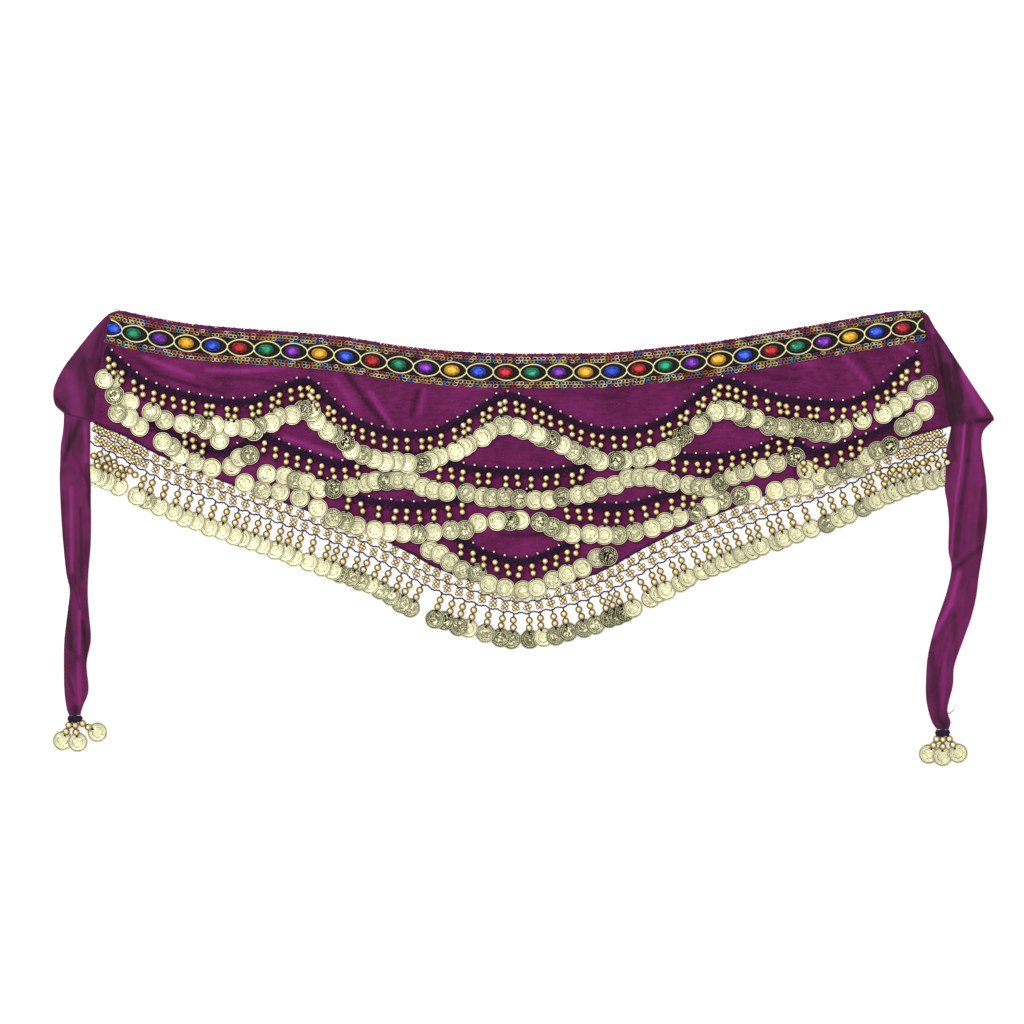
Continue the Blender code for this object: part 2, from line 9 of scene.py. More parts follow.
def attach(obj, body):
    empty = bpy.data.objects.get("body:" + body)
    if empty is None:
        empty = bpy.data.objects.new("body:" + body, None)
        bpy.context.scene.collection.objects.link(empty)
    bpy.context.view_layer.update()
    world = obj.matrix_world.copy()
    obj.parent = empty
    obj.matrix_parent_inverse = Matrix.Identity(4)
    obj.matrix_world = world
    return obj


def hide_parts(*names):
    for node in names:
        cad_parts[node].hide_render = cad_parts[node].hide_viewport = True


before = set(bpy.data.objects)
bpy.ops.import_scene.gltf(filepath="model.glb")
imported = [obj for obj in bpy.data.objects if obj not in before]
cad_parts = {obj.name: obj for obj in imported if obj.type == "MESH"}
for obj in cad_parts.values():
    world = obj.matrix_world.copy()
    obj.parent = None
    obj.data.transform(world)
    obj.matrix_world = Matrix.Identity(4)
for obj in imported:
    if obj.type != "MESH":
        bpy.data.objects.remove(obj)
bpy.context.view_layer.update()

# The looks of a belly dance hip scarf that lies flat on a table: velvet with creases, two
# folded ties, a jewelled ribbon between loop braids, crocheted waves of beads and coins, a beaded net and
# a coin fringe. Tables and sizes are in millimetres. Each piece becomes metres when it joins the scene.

MM = 0.001
CHANCE = random.Random(31)

# Driving sizes
VELVET = 1.4
CLOTH_LIFT = 0.25
RIBBON_WIDTH = 14.4
RIBBON_TOP = 3.15
BRAID_OFFSET = 10.45
BRAID_WIDTH = 5.4
TRIM_START = 3.5
TRIM_END = 2.0
TOP_HEM_LEFT = 17.0
TOP_HEM_RIGHT = 15.4
LEFT_CORNER_DROP = 6.0
LEFT_CORNER_RUN = 14.0
RIGHT_CORNER_DROP = 5.0
RIGHT_CORNER_RUN = 28.0
GEM_COUNT = 31
GEM_LENGTH = 13.4
GEM_WIDTH = 9.0
GEM_HEIGHT = 3.3
FIRST_GEM = 9.0
SECOND_GEM = 25.8
LAST_GEM = 21.0
COIN_RADIUS = 8.5
COIN_THICK = 0.5
BEAD_RADIUS = 3.2
SEED_RADIUS = 1.45
STRAND_PITCH = 8.9
BAND_WIDTH = 6.4
SQUARE_SPAN = 7.0
HEM_OFFSET = 17.6
UPPER_CHAIN = 9.5
NET_ROWS = (13.4, 5.0)
NET_PITCH = 10.4

# Waist line of the scarf, through the middle of the jewelled ribbon
RIBBON_LINE = (
    # x, y
    (-356, 178), (-331, 172), (-287, 164), (-243, 160), (-199, 157), (-155, 153), (-110, 146), (-63, 141),
    (-17, 139), (29, 139), (77, 140), (125, 145), (168, 150), (215, 158), (256, 165), (300, 173),
    (343, 179.5),
)
# Lowest chain of the net, from which the fringe hangs
LOWER_CHAIN = (
    # x, y
    (-352, 72), (-339, 65), (-317, 53), (-275, 35), (-224, 17), (-173, -1), (-122, -21), (-79, -44),
    (-45, -56), (-11, -65), (14, -64), (48, -56), (82, -42), (116, -23), (150, -7), (201, 14), (252, 33),
    (303, 56), (329, 66), (350, 72),
)
LEFT_HEM_CORNER = (-367, 97)
RIGHT_HEM_CORNER = (363, 93)
# The net's lower chain runs on to the ties
LEFT_CHAIN_END = (-371, 81)
RIGHT_CHAIN_END = (364, 78)

# Crochet bands in waves, top edge of each
COIN_ROWS = (
    (
        # x, y
        (-353, 161), (-333, 142), (-316, 131), (-286, 122), (-248, 116), (-226, 119), (-204, 129),
        (-187, 134), (-176, 130), (-156, 111), (-139, 99), (-111, 90), (-80, 90), (-51, 103), (-32, 114),
        (-16, 122), (5, 117), (33, 104), (57, 94), (85, 91), (116, 99), (141, 116), (163, 133), (178, 133),
        (215, 120), (257, 115), (277, 116), (304, 129), (319, 144), (335, 156),
    ),
    (
        # x, y
        (-317, 99), (-283, 82), (-254, 74), (-237, 81), (-220, 87), (-193, 75), (-154, 64), (-125, 68),
        (-96, 71), (-71, 67), (-46, 60), (-14, 57), (19, 57), (57, 62), (82, 70), (112, 73), (141, 70),
        (169, 70), (198, 76), (218, 84), (230, 84), (247, 74), (276, 81), (303, 92), (324, 106),
    ),
    (
        # x, y
        (-171, 50), (-158, 44), (-132, 33), (-96, 29), (-71, 30), (-45, 35), (-20, 38), (-7, 39), (6, 39),
        (31, 35), (61, 28), (92, 29), (116, 36), (142, 42), (163, 49.5),
    ),
    (
        # x, y
        (-63, 7), (-50, -2), (-30, -13), (-1, -19), (27, -10), (44, -2), (56, 6),
    ),
)
# Places below are counted on a grid of 0.85 mm steps, x to the right and y downwards
GRID_STEP = 0.85
GRID_MIDDLE = (523.25, 536.0)
# Pairs of beads that show in the lower waves: x, y of the upper bead
PAIRS = (
    (),
    (
        (172, 434), (185, 436), (193, 440), (204, 445), (265, 443), (276, 449), (287, 455), (298, 458),
        (310, 461), (322, 466), (333, 470), (345, 470), (357, 467), (440, 470), (451, 470), (463, 472),
        (478, 475), (489, 475), (506, 478), (517, 477), (531, 479), (546, 478), (557, 476), (572, 475),
        (582, 471), (595, 470), (673, 462), (686, 463), (697, 464), (708, 464), (720, 461), (732, 458),
        (743, 456), (755, 454), (767, 447), (778, 443), (791, 441), (803, 463), (815, 460), (826, 456),
        (840, 453), (850, 448), (860, 442),
    ),
    (
        (338, 493), (349, 500), (361, 504), (379, 508), (396, 511), (407, 511), (419, 512), (434, 511),
        (448, 508), (462, 505), (566, 510), (578, 511), (590, 511), (607, 514), (618, 514), (631, 512),
        (644, 508), (657, 505), (671, 501), (683, 498), (694, 497),
    ),
    (
        (461, 546), (473, 553), (484, 558), (495, 562), (507, 566), (520, 568), (532, 566), (545, 561),
        (556, 557), (567, 552), (577, 546),
    ),
)
# Coins of the lower waves, and of the upper wave where it crowds at its ends
COINS = (
    (
        (105, 379), (113, 379), (115, 395), (130, 402), (118, 413), (130, 418), (140, 427), (152, 412),
        (165, 420), (163, 442), (172, 447), (180, 455), (183, 424), (197, 424), (220, 440), (215, 425),
        (232, 427), (246, 428), (796, 427), (804, 428), (825, 432), (843, 428), (862, 420), (883, 414),
        (903, 427), (912, 422), (903, 401), (924, 411), (917, 390), (928, 385),
    ),
    (
        (196, 462), (212, 468), (232, 466), (240, 458), (250, 455), (267, 474), (285, 476), (296, 480),
        (307, 482), (319, 489), (334, 489), (351, 487), (366, 483), (376, 481), (387, 481), (398, 480),
        (411, 480), (423, 487), (434, 490), (447, 492), (467, 493), (483, 497), (492, 498), (505, 497),
        (519, 499), (535, 500), (549, 500), (562, 497), (578, 495), (590, 493), (600, 487), (615, 485),
        (628, 478), (640, 477), (651, 477), (662, 480), (671, 483), (689, 485), (699, 487), (709, 488),
        (720, 482), (733, 476), (745, 472), (763, 468), (777, 463), (795, 457), (806, 470), (820, 477),
        (833, 477), (845, 470), (855, 468), (867, 457), (877, 451), (890, 446),
    ),
    (
        (245, 483), (262, 490), (280, 492), (300, 498), (318, 508), (333, 518), (345, 521), (357, 526),
        (375, 530), (389, 532), (403, 533), (418, 534), (433, 532), (451, 530), (465, 530), (478, 523),
        (497, 521), (510, 521), (520, 520), (540, 522), (552, 527), (560, 531), (572, 534), (590, 534),
        (604, 535), (618, 535), (635, 532), (652, 528), (665, 522), (679, 517), (697, 513), (710, 506),
        (722, 500), (740, 496), (752, 495), (775, 491), (790, 488), (805, 487), (818, 480),
    ),
    (
        (430, 550), (440, 554), (450, 562), (462, 570), (477, 573), (489, 584), (505, 588), (523, 590),
        (537, 588), (553, 580), (567, 574), (582, 568), (597, 558), (608, 556),
    ),
)
# Where the strands of the fringe hang from the lower chain, x on the same grid
FRINGE_STRANDS = (
    103, 110, 118, 131, 147, 155, 168, 180, 192, 204, 216, 229, 239, 250, 261, 271, 283, 293, 303, 316, 330,
    339, 348, 360, 370, 381, 392, 402, 413, 423, 442, 454, 465, 476, 490, 504, 514, 529, 540, 552, 563, 577,
    588, 600, 608, 614, 625, 637, 649, 657, 669, 679, 691, 703, 714, 723, 733, 746, 755, 767, 777, 788, 802,
    817, 828, 840, 852, 861, 868, 880, 888, 897, 906, 915, 924, 933, 942,
)
ROW_NODES = (
    ("coin_row_1a", "coin_row_1b", "coin_row_1c"),
    ("coin_row_2a", "coin_row_2b", "coin_row_2c"),
    ("coin_row_3a", "coin_row_3b"),
    ("coin_row_4",),
)
FRINGE_NODES = ("fringe_left_hip", "fringe_left", "fringe_point", "fringe_right", "fringe_right_hip")
NET_NODES = ("net_left", "net_point", "net_right")

# Soft creases in the velvet: ridges, and troughs where the height is negative
VELVET_CREASES = (
    # from x, from y, to x, to y, half width, height
    (-318, 138, -256, 131, 8, 1.2),
    (-140, 121, -132, 114, 9, 1.5),
    (-92, 113, -95, 109, 10, 1.4),
    (52, 111, 112, 114, 9, 1.2),
    (230, 131, 252, 127, 7, 1.0),
    (290, 145, 295, 140, 5, 1.0),
    (-208, 104, -188, 100, 8, 1.0),
    (-18, 3, 30, 5, 8, 1.2),
    (-338, 152, -280, 139, 5, 0.5),
    (-262, 139, -214, 141, 6, 0.4),
    (-150, 132, -120, 98, 5, -0.4),
    (-128, 128, -104, 104, 4, 0.6),
    (-66, 126, -30, 122, 6, 0.5),
    (20, 120, 60, 124, 5, -0.4),
    (92, 120, 128, 128, 6, 0.6),
    (190, 141, 222, 136, 5, 0.5),
    (262, 146, 290, 132, 4, -0.4),
    (300, 158, 326, 160, 5, 0.6),
    (-214, 112, -176, 92, 4, -0.3),
    (-190, 96, -160, 82, 5, 0.5),
    (-10, 80, 26, 84, 5, 0.5),
    (150, 98, 176, 104, 6, 0.5),
    (172, 88, 206, 96, 4, -0.3),
    (-40, -2, 0, 1, 4, 0.4),
    (-330, 112, -300, 104, 5, 0.5),
    (-286, 62, -250, 48, 5, 0.5),
    (248, 56, 292, 74, 5, 0.5),
    (310, 92, 340, 100, 5, 0.6),
)

# Fold and hanging stretch of each tie, from the waist down
LEFT_TIE = (
    # left x, left y, right x, right y, left, middle and right height, fold place, fold height, edge groove
    (-356.0, 185.5, -353.8, 188.0, 1.6, 1.8, 1.5, 0.5, 0.0, 0.0),
    (-364.0, 177.0, -355.2, 176.0, 2.6, 2.8, 1.5, 0.5, 0.0, 0.3),
    (-373.0, 166.0, -356.9, 165.0, 3.0, 3.6, 1.5, 0.4, 0.3, 0.6),
    (-381.0, 156.0, -358.4, 155.0, 3.2, 4.2, 1.5, 0.4, 0.5, 0.7),
    (-390.0, 144.0, -360.3, 143.0, 3.4, 4.4, 1.5, 0.4, 0.6, 0.7),
    (-396.0, 133.0, -362.1, 131.0, 3.4, 4.6, 1.5, 0.4, 0.6, 0.7),
    (-399.3, 123.0, -364.0, 119.0, 3.6, 4.8, 1.6, 0.4, 0.5, 0.7),
    (-398.0, 112.0, -366.0, 106.0, 3.8, 5.0, 1.9, 0.4, 0.4, 0.6),
    (-392.0, 105.6, -367.2, 98.8, 4.0, 5.0, 2.2, 0.4, 0.2, 0.4),
    (-390.4, 103.6, -367.8, 97.0, 2.8, 3.2, 2.2, 0.3, 0.2, 0.8),
    (-391.0, 90.0, -367.8, 84.0, 2.8, 3.2, 2.4, 0.2, 1.0, 1.0),
    (-393.0, 77.0, -368.0, 72.0, 2.8, 3.2, 2.4, 0.25, 1.3, 1.0),
    (-393.6, 62.0, -368.0, 60.0, 2.6, 3.2, 2.4, 0.45, 1.4, 1.0),
    (-394.0, 48.0, -367.4, 46.0, 2.6, 3.0, 2.8, 0.75, 1.2, 1.0),
    (-393.4, 30.0, -367.4, 30.0, 2.6, 3.0, 2.6, 0.6, 0.8, 1.0),
    (-392.4, 12.0, -367.2, 12.0, 2.6, 3.0, 2.6, 0.4, 0.7, 1.0),
    (-391.0, -6.0, -367.6, -8.0, 2.6, 3.0, 2.6, 0.3, 0.8, 1.0),
    (-388.4, -31.0, -369.6, -33.0, 2.8, 3.2, 2.8, 0.3, 1.0, 1.0),
    (-385.4, -46.0, -370.0, -50.0, 2.8, 3.4, 2.8, 0.5, 1.4, 1.0),
    (-387.0, -63.0, -369.0, -66.0, 2.8, 3.2, 2.8, 0.7, 1.2, 1.0),
    (-390.0, -88.0, -367.4, -88.0, 2.6, 3.0, 2.6, 0.6, 0.8, 1.0),
    (-390.4, -110.0, -371.0, -108.0, 2.6, 3.0, 2.6, 0.4, 0.8, 1.0),
    (-390.0, -131.0, -369.4, -131.0, 2.6, 3.0, 2.6, 0.5, 0.8, 1.0),
    (-388.0, -146.0, -374.0, -144.0, 2.6, 3.2, 2.6, 0.5, 0.8, 0.8),
    (-385.6, -152.6, -376.4, -152.0, 2.4, 3.2, 2.4, 0.5, 0.5, 0.5),
)
RIGHT_TIE = (
    # left x, left y, right x, right y, left, middle and right height, fold place, fold height, edge groove
    (342.2, 189.6, 344.2, 187.4, 1.5, 1.8, 1.6, 0.5, 0.0, 0.0),
    (344.3, 180.0, 349.0, 178.0, 1.5, 2.6, 2.4, 0.5, 0.0, 0.3),
    (346.5, 170.0, 354.5, 170.0, 1.5, 3.2, 2.8, 0.6, 0.3, 0.5),
    (349.4, 157.0, 363.0, 157.0, 1.5, 3.8, 3.2, 0.6, 0.6, 0.7),
    (352.3, 144.0, 371.5, 144.0, 1.5, 4.2, 3.4, 0.62, 0.8, 0.7),
    (355.4, 130.0, 380.5, 130.0, 1.5, 4.4, 3.4, 0.62, 0.9, 0.7),
    (358.0, 118.0, 388.5, 118.0, 1.6, 4.6, 3.4, 0.62, 0.9, 0.7),
    (360.8, 105.0, 396.6, 106.0, 1.9, 4.8, 3.6, 0.62, 0.8, 0.6),
    (363.1, 95.0, 400.0, 99.4, 2.2, 4.8, 3.8, 0.6, 0.5, 0.4),
    (363.5, 93.2, 397.6, 96.6, 2.2, 3.4, 2.8, 0.5, 0.5, 0.8),
    (362.2, 86.0, 390.6, 88.4, 2.4, 3.2, 2.8, 0.5, 1.2, 1.0),
    (359.4, 73.0, 389.4, 76.0, 2.4, 3.2, 2.8, 0.48, 1.5, 1.0),
    (358.4, 55.0, 391.4, 61.0, 2.4, 3.2, 2.8, 0.46, 1.5, 1.0),
    (358.2, 39.0, 393.4, 46.0, 2.4, 3.0, 2.8, 0.4, 1.5, 1.0),
    (360.0, 28.0, 394.2, 30.0, 2.6, 3.0, 2.8, 0.34, 1.4, 1.0),
    (361.6, 12.0, 394.0, 12.0, 2.6, 3.0, 2.8, 0.26, 1.3, 1.0),
    (361.2, -12.0, 390.4, -14.0, 2.6, 3.0, 2.6, 0.2, 1.2, 1.0),
    (363.8, -27.0, 387.2, -33.0, 2.8, 3.2, 2.8, 0.3, 1.2, 1.0),
    (360.4, -45.0, 384.8, -52.0, 2.8, 3.2, 2.8, 0.6, 1.4, 1.0),
    (355.6, -60.0, 380.4, -70.0, 2.8, 3.2, 2.8, 0.7, 1.0, 1.0),
    (350.0, -76.0, 374.8, -86.0, 2.6, 3.0, 2.6, 0.5, 0.8, 1.0),
    (344.0, -100.0, 366.4, -110.0, 2.6, 3.0, 2.6, 0.4, 0.8, 1.0),
    (342.2, -120.0, 365.0, -127.0, 2.6, 3.0, 2.6, 0.4, 0.8, 1.0),
    (342.4, -139.0, 360.4, -147.0, 2.6, 3.0, 2.6, 0.5, 0.8, 1.0),
    (346.4, -156.0, 363.0, -158.0, 2.6, 3.2, 2.6, 0.5, 0.6, 0.8),
    (351.2, -164.0, 361.2, -164.4, 2.4, 3.2, 2.4, 0.5, 0.4, 0.5),
)
# Creases along the ties, and edges where one layer of a tie lies over the next
TIE_CREASES = (
    # from x, from y, to x, to y, half width, height
    (-372, 158, -368, 112, 4, -0.6),
    (-380, 148, -376, 112, 3.5, 0.5),
    (-386, 138, -389, 114, 3, -0.5),
    (-383, 96, -386, 64, 2.5, -0.7),
    (-377, 92, -374, 72, 2.5, 0.6),
    (-388, 40, -386, -16, 2.5, 0.5),
    (-382, 44, -378, -10, 3, -0.6),
    (-374, 30, -373, -24, 2.5, 0.4),
    (-381, -20, -379, -44, 2, -0.5),
    (-384, -70, -384, -140, 2.5, 0.5),
    (-379, -78, -378, -146, 2.5, -0.6),
    (-374, -112, -375, -142, 2, 0.5),
    (351, 160, 357, 104, 3.5, -0.9),
    (362, 152, 368, 104, 3.5, -0.9),
    (356.5, 148, 363, 106, 3, 0.7),
    (374, 142, 384, 108, 4, 0.5),
    (380, 132, 391, 106, 2.5, -0.4),
    (378, 92, 375, 60, 3, -0.8),
    (384, 84, 386, 40, 3, 0.5),
    (368, 88, 363, 52, 2.5, -0.5),
    (378, 40, 376, -8, 3, -0.5),
    (386, 30, 384, -18, 2.5, 0.5),
    (368, 10, 367, -20, 2.5, -0.5),
    (376, -34, 368, -66, 3, -0.5),
    (368, -38, 358, -74, 2.5, 0.5),
    (362, -84, 352, -128, 2.5, -0.6),
    (355, -82, 347, -126, 2.5, 0.5),
    (368, -88, 360, -130, 2, 0.4),
    (352, -134, 354, -160, 2, -0.5),
    (357, -136, 358, -160, 2, 0.5),
)
TIE_LAPS = (
    # from x, from y, to x, to y, step, reach of the upper layer
    (-392, 77, -378, 63, 1.1, 9.0),
    (-378, 63, -366.5, 37, 1.1, 9.0),
    (-385, -46, -377.6, -67, 1.0, 8.0),
    (-374, -76, -368, -101, 0.9, 7.0),
    (371.5, 92, 370.5, 62, 1.0, 8.0),
    (370.5, 62, 366.5, 28, 1.0, 8.0),
    (366.5, 28, 363.5, -18, 0.9, 7.0),
    (363.6, -27, 388.0, -8, 1.0, 9.0),
)
LAP_EDGE = 0.7
# Painted shade where a fold of the velvet or of a tie turns from the light, and painted highlight where the
# depth is negative
VELVET_SHADES = (
    # from x, from y, to x, to y, half width, depth
    (-327, 149, -312, 138, 3, 0.4),
    (-312, 138, -277, 127, 3, 0.5),
    (-322, 152, -282, 136, 3.6, -0.4),
    (-277, 127, -252, 121, 3, 0.45),
    (-268, 141, -236, 140, 3.6, -0.4),
    (-236, 140, -196, 145, 3.6, -0.35),
    (-262, 134, -222, 133, 3, 0.35),
    (-222, 133, -196, 128, 3, 0.4),
    (-150, 138, -134, 115, 4, 0.75),
    (-134, 115, -117, 94, 4, 0.75),
    (-130, 122, -113, 94, 3.6, -0.45),
    (-160, 134, -144, 112, 4, -0.25),
    (-90, 122, -95, 102, 4, 0.55),
    (-84, 124, -88, 104, 3.6, -0.3),
    (-70, 130, -30, 126, 3, -0.3),
    (-215, 82, -152, 56, 3.5, 0.5),
    (-203, 84, -150, 66, 3.6, -0.4),
    (34, 122, 78, 118, 4, 0.3),
    (60, 130, 118, 132, 3, -0.3),
    (124, 128, 150, 134, 4, 0.35),
    (186, 142, 232, 132, 4, 0.35),
    (200, 150, 246, 146, 3, -0.3),
    (282, 158, 303, 124, 5, 0.4),
    (270, 156, 292, 130, 3, -0.35),
    (316, 166, 338, 150, 3, -0.35),
    (-20, 1, 31, 1, 4, 0.45),
    (-52, 6, -10, 8, 3.6, -0.35),
    (196, 96, 238, 104, 4, 0.35),
    (250, 104, 300, 112, 4, -0.25),
    (-354, 150, -364, 106, 14, 0.2),
    (-346, 166, -352, 136, 3, 0.2),
    (346, 168, 358, 100, 13, 0.3),
    (330, 134, 344, 100, 4, -0.25),
)
TIE_SHADES = (
    # from x, from y, to x, to y, half width, depth
    (-374, 150, -367, 119, 5, 0.3),
    (-367, 119, -369, 100, 6, 0.2),
    (-384, 136, -379, 106, 9, -0.2),
    (-356, 168, -368, 106, 9, 0.2),
    (-357, 178, -366, 150, 3, 0.3),
    (-396, 116, -386, 104, 3, 0.45),
    (-377, 97, -386, 76, 5, 0.6),
    (-386, 76, -390, 64, 3, 0.5),
    (-372, 92, -371, 40, 4, -0.3),
    (-391, 96, -391, 70, 2.2, -0.25),
    (-371, 60, -368, 26, 3.5, 0.5),
    (-384, 40, -383, -30, 3, -0.4),
    (-376, 24, -375, -36, 3, 0.45),
    (-391, 30, -389, -30, 2.5, 0.35),
    (-387, -56, -384, -96, 5, 0.55),
    (-377, -64, -377, -100, 3, -0.4),
    (-374, -72, -371, -105, 3, 0.6),
    (-387, -118, -382, -134, 2.5, 0.45),
    (-378, -108, -377, -142, 4, -0.3),
    (-381, -146, -380, -153, 5, 0.6),
    # This broad, faint entry lightens the whole right tie a little: a tone of its cloth, not light
    (376, 90, 370, -140, 26, -0.12),
    (351, 168, 356, 140, 6, 0.55),
    (359, 142, 365, 98, 8, 0.8),
    (365, 155, 371, 116, 5, 0.5),
    (369, 122, 373, 98, 6, 0.55),
    (362.5, 150, 364, 132, 2.6, -0.2),
    (374, 138, 389, 106, 7, -0.55),
    (346, 176, 356, 160, 4, -0.3),
    (384, 98, 397, 99, 2.5, 0.6),
    (363, 94, 366, 66, 4.5, 0.5),
    (374.8, 95, 372, 64, 1.6, -0.9),
    (372, 64, 367, 30, 1.6, -0.8),
    (367, 30, 363, -20, 1.6, -0.5),
    (379, 97, 377.5, 64, 3.4, 0.5),
    (377.5, 64, 372, 28, 3.4, 0.45),
    (372, 28, 367, -18, 3.2, 0.35),
    (385, 90, 389, 30, 4, -0.25),
    (390, 40, 387, -14, 3, 0.35),
    (362, -31, 389, -9, 3, 0.35),
    (370, -31, 363, -58, 3.5, -0.5),
    (363, -58, 349, -84, 4, -0.5),
    (358, -36, 352, -66, 3.5, 0.45),
    (366, -68, 367, -100, 4, 0.3),
    (347, -100, 352, -154, 5, 0.35),
    (358, -100, 356, -140, 4, -0.25),
    (356, -158, 357, -165, 6, 0.6),
)
FOLD_SPREAD = 0.16

TIE_ENDS = (
    # side, left x, right x, y, directions of the three drops
    ("left", -387.0, -374.6, -155.4, ((-0.42, -1.0), (0.12, -1.0), (1.0, -0.62))),
    ("right", 350.0, 362.4, -167.4, ((-0.5, -1.0), (0.0, -1.0), (0.62, -1.0))),
)

GEM_COLOURS = {
    # stone: edge colour, heart colour, the two ends of a painted reflection of the foil
    "blue": ("#0E35C4", "#3F78FF"),
    "green": ("#046B4C", "#17C090"),
    "purple": ("#5A0C92", "#B03CEE"),
    "amber": ("#EEA416", "#FFDC48"),
    "red": ("#960616", "#F02438"),
}
FIRST_GEMS = ("blue", "green", "purple", "amber", "blue")
NEXT_GEMS = ("red", "green", "purple", "amber", "blue")
BRAID_THREADS = {
    # thread: colour
    "gold": "#E8BE62",
    "pale_gold": "#FBEFC4",
    "red": "#BE5448",
    "teal": "#4CA8B4",
    "blue": "#5878D8",
    "plum": "#AC6C86",
}


class Route:
    """A smooth line on the table through a few points, read by its length."""

    def __init__(self, points, steps=12):
        points = [Vector(p) for p in points]
        ends = [2 * points[0] - points[1]] + points + [2 * points[-1] - points[-2]]
        self.dense = [points[0]]
        for before, start, end, after in zip(ends, ends[1:], ends[2:], ends[3:]):
            for step in range(1, steps + 1):
                self.dense.append(between(before, start, end, after, step / steps))
        self.reached = [0.0]
        for start, end in zip(self.dense, self.dense[1:]):
            self.reached.append(self.reached[-1] + (end - start).length)
        self.length = self.reached[-1]

    def piece(self, s):
        low, high = 0, len(self.reached) - 1
        while high - low > 1:
            middle = (low + high) // 2
            if self.reached[middle] > s:
                high = middle
            else:
                low = middle
        return low

    def along(self, s):
        i = self.piece(s)
        return (self.dense[i + 1] - self.dense[i]).normalized()

    def up(self, s):
        before = self.along(max(s - SQUARE_SPAN, 0.0))
        after = self.along(min(s + SQUARE_SPAN, self.length))
        tangent = (before + after).normalized()
        return Vector((-tangent.y, tangent.x))

    def at(self, s, offset=0.0):
        i = self.piece(s)
        share = (s - self.reached[i]) / (self.reached[i + 1] - self.reached[i])
        return self.dense[i].lerp(self.dense[i + 1], share) + offset * self.up(s)


def between(before, start, end, after, t):
    """Smooth value at t from start to end, also for vectors."""
    return 0.5 * (
        2 * start + (end - before) * t
        + (2 * before - 5 * start + 4 * end - after) * t ** 2
        + (3 * start - before - 3 * end + after) * t ** 3
    )


def spread(start, end, count):
    return [start + (end - start) * i / (count - 1) for i in range(count)]


def crease_height(x, y, creases):
    rise = 0.0
    for x0, y0, x1, y1, half_width, height in creases:
        run_x, run_y = x1 - x0, y1 - y0
        share = ((x - x0) * run_x + (y - y0) * run_y) / (run_x * run_x + run_y * run_y)
        share = min(max(share, 0.0), 1.0)
        away = math.hypot(x - x0 - share * run_x, y - y0 - share * run_y) / half_width
        if away < 1.0:
            rise += height * math.cos(away * math.pi / 2) ** 2
    return rise


def velvet_top(x, y):
    """Height of the velvet's upper face over the table."""
    return VELVET + crease_height(x, y, VELVET_CREASES)


def table_top(_x, _y):
    return 0.0


def linear(code):
    """sRGB hex colour as the linear colour that a shader takes."""
    parts = [int(code[i:i + 2], 16) / 255 for i in (1, 3, 5)]
    return (*[c / 12.92 if c <= 0.04045 else ((c + 0.055) / 1.055) ** 2.4 for c in parts], 1.0)


def per(size_mm):
    """Texture scale for a pattern whose features are this many millimetres apart."""
    return 1000.0 / size_mm


def add_node(tree, kind, sockets=None, **settings):
    """One node with its settings, its sockets given values or linked to other nodes' outputs."""
    made = tree.nodes.new(kind)
    for key, value in settings.items():
        setattr(made, key, value)
    for key, value in (sockets or {}).items():
        if isinstance(value, bpy.types.NodeSocket):
            tree.links.new(value, made.inputs[key])
        else:
            made.inputs[key].default_value = value
    return made


def new_finish(name):
    made = bpy.data.materials.new(name)
    made.use_nodes = True
    return made, made.node_tree, made.node_tree.nodes["Principled BSDF"]


def cloth_tone(tree, noise, dark, bright, shade_colour, highlight_colour):
    """Cloth colour from a noise, drawn towards painted shade and highlight colours where its shade says so."""
    tone = add_node(tree, "ShaderNodeValToRGB", {"Fac": noise})
    set_ramp(tone, ((0.38, dark), (0.62, bright)))
    shade = add_node(tree, "ShaderNodeAttribute", attribute_name="shade").outputs["Fac"]
    down = add_node(tree, "ShaderNodeMapRange", {"Value": shade, 1: 0.0, 2: 1.0}).outputs[0]
    up = add_node(tree, "ShaderNodeMapRange", {"Value": shade, 1: 0.0, 2: -1.0}).outputs[0]
    shaded_tone = add_node(
        tree, "ShaderNodeMix", {0: down, 6: tone.outputs["Color"], 7: linear(shade_colour)}, data_type="RGBA")
    return add_node(
        tree, "ShaderNodeMix", {0: up, 6: shaded_tone.outputs[2], 7: linear(highlight_colour)}, data_type="RGBA").outputs[2]


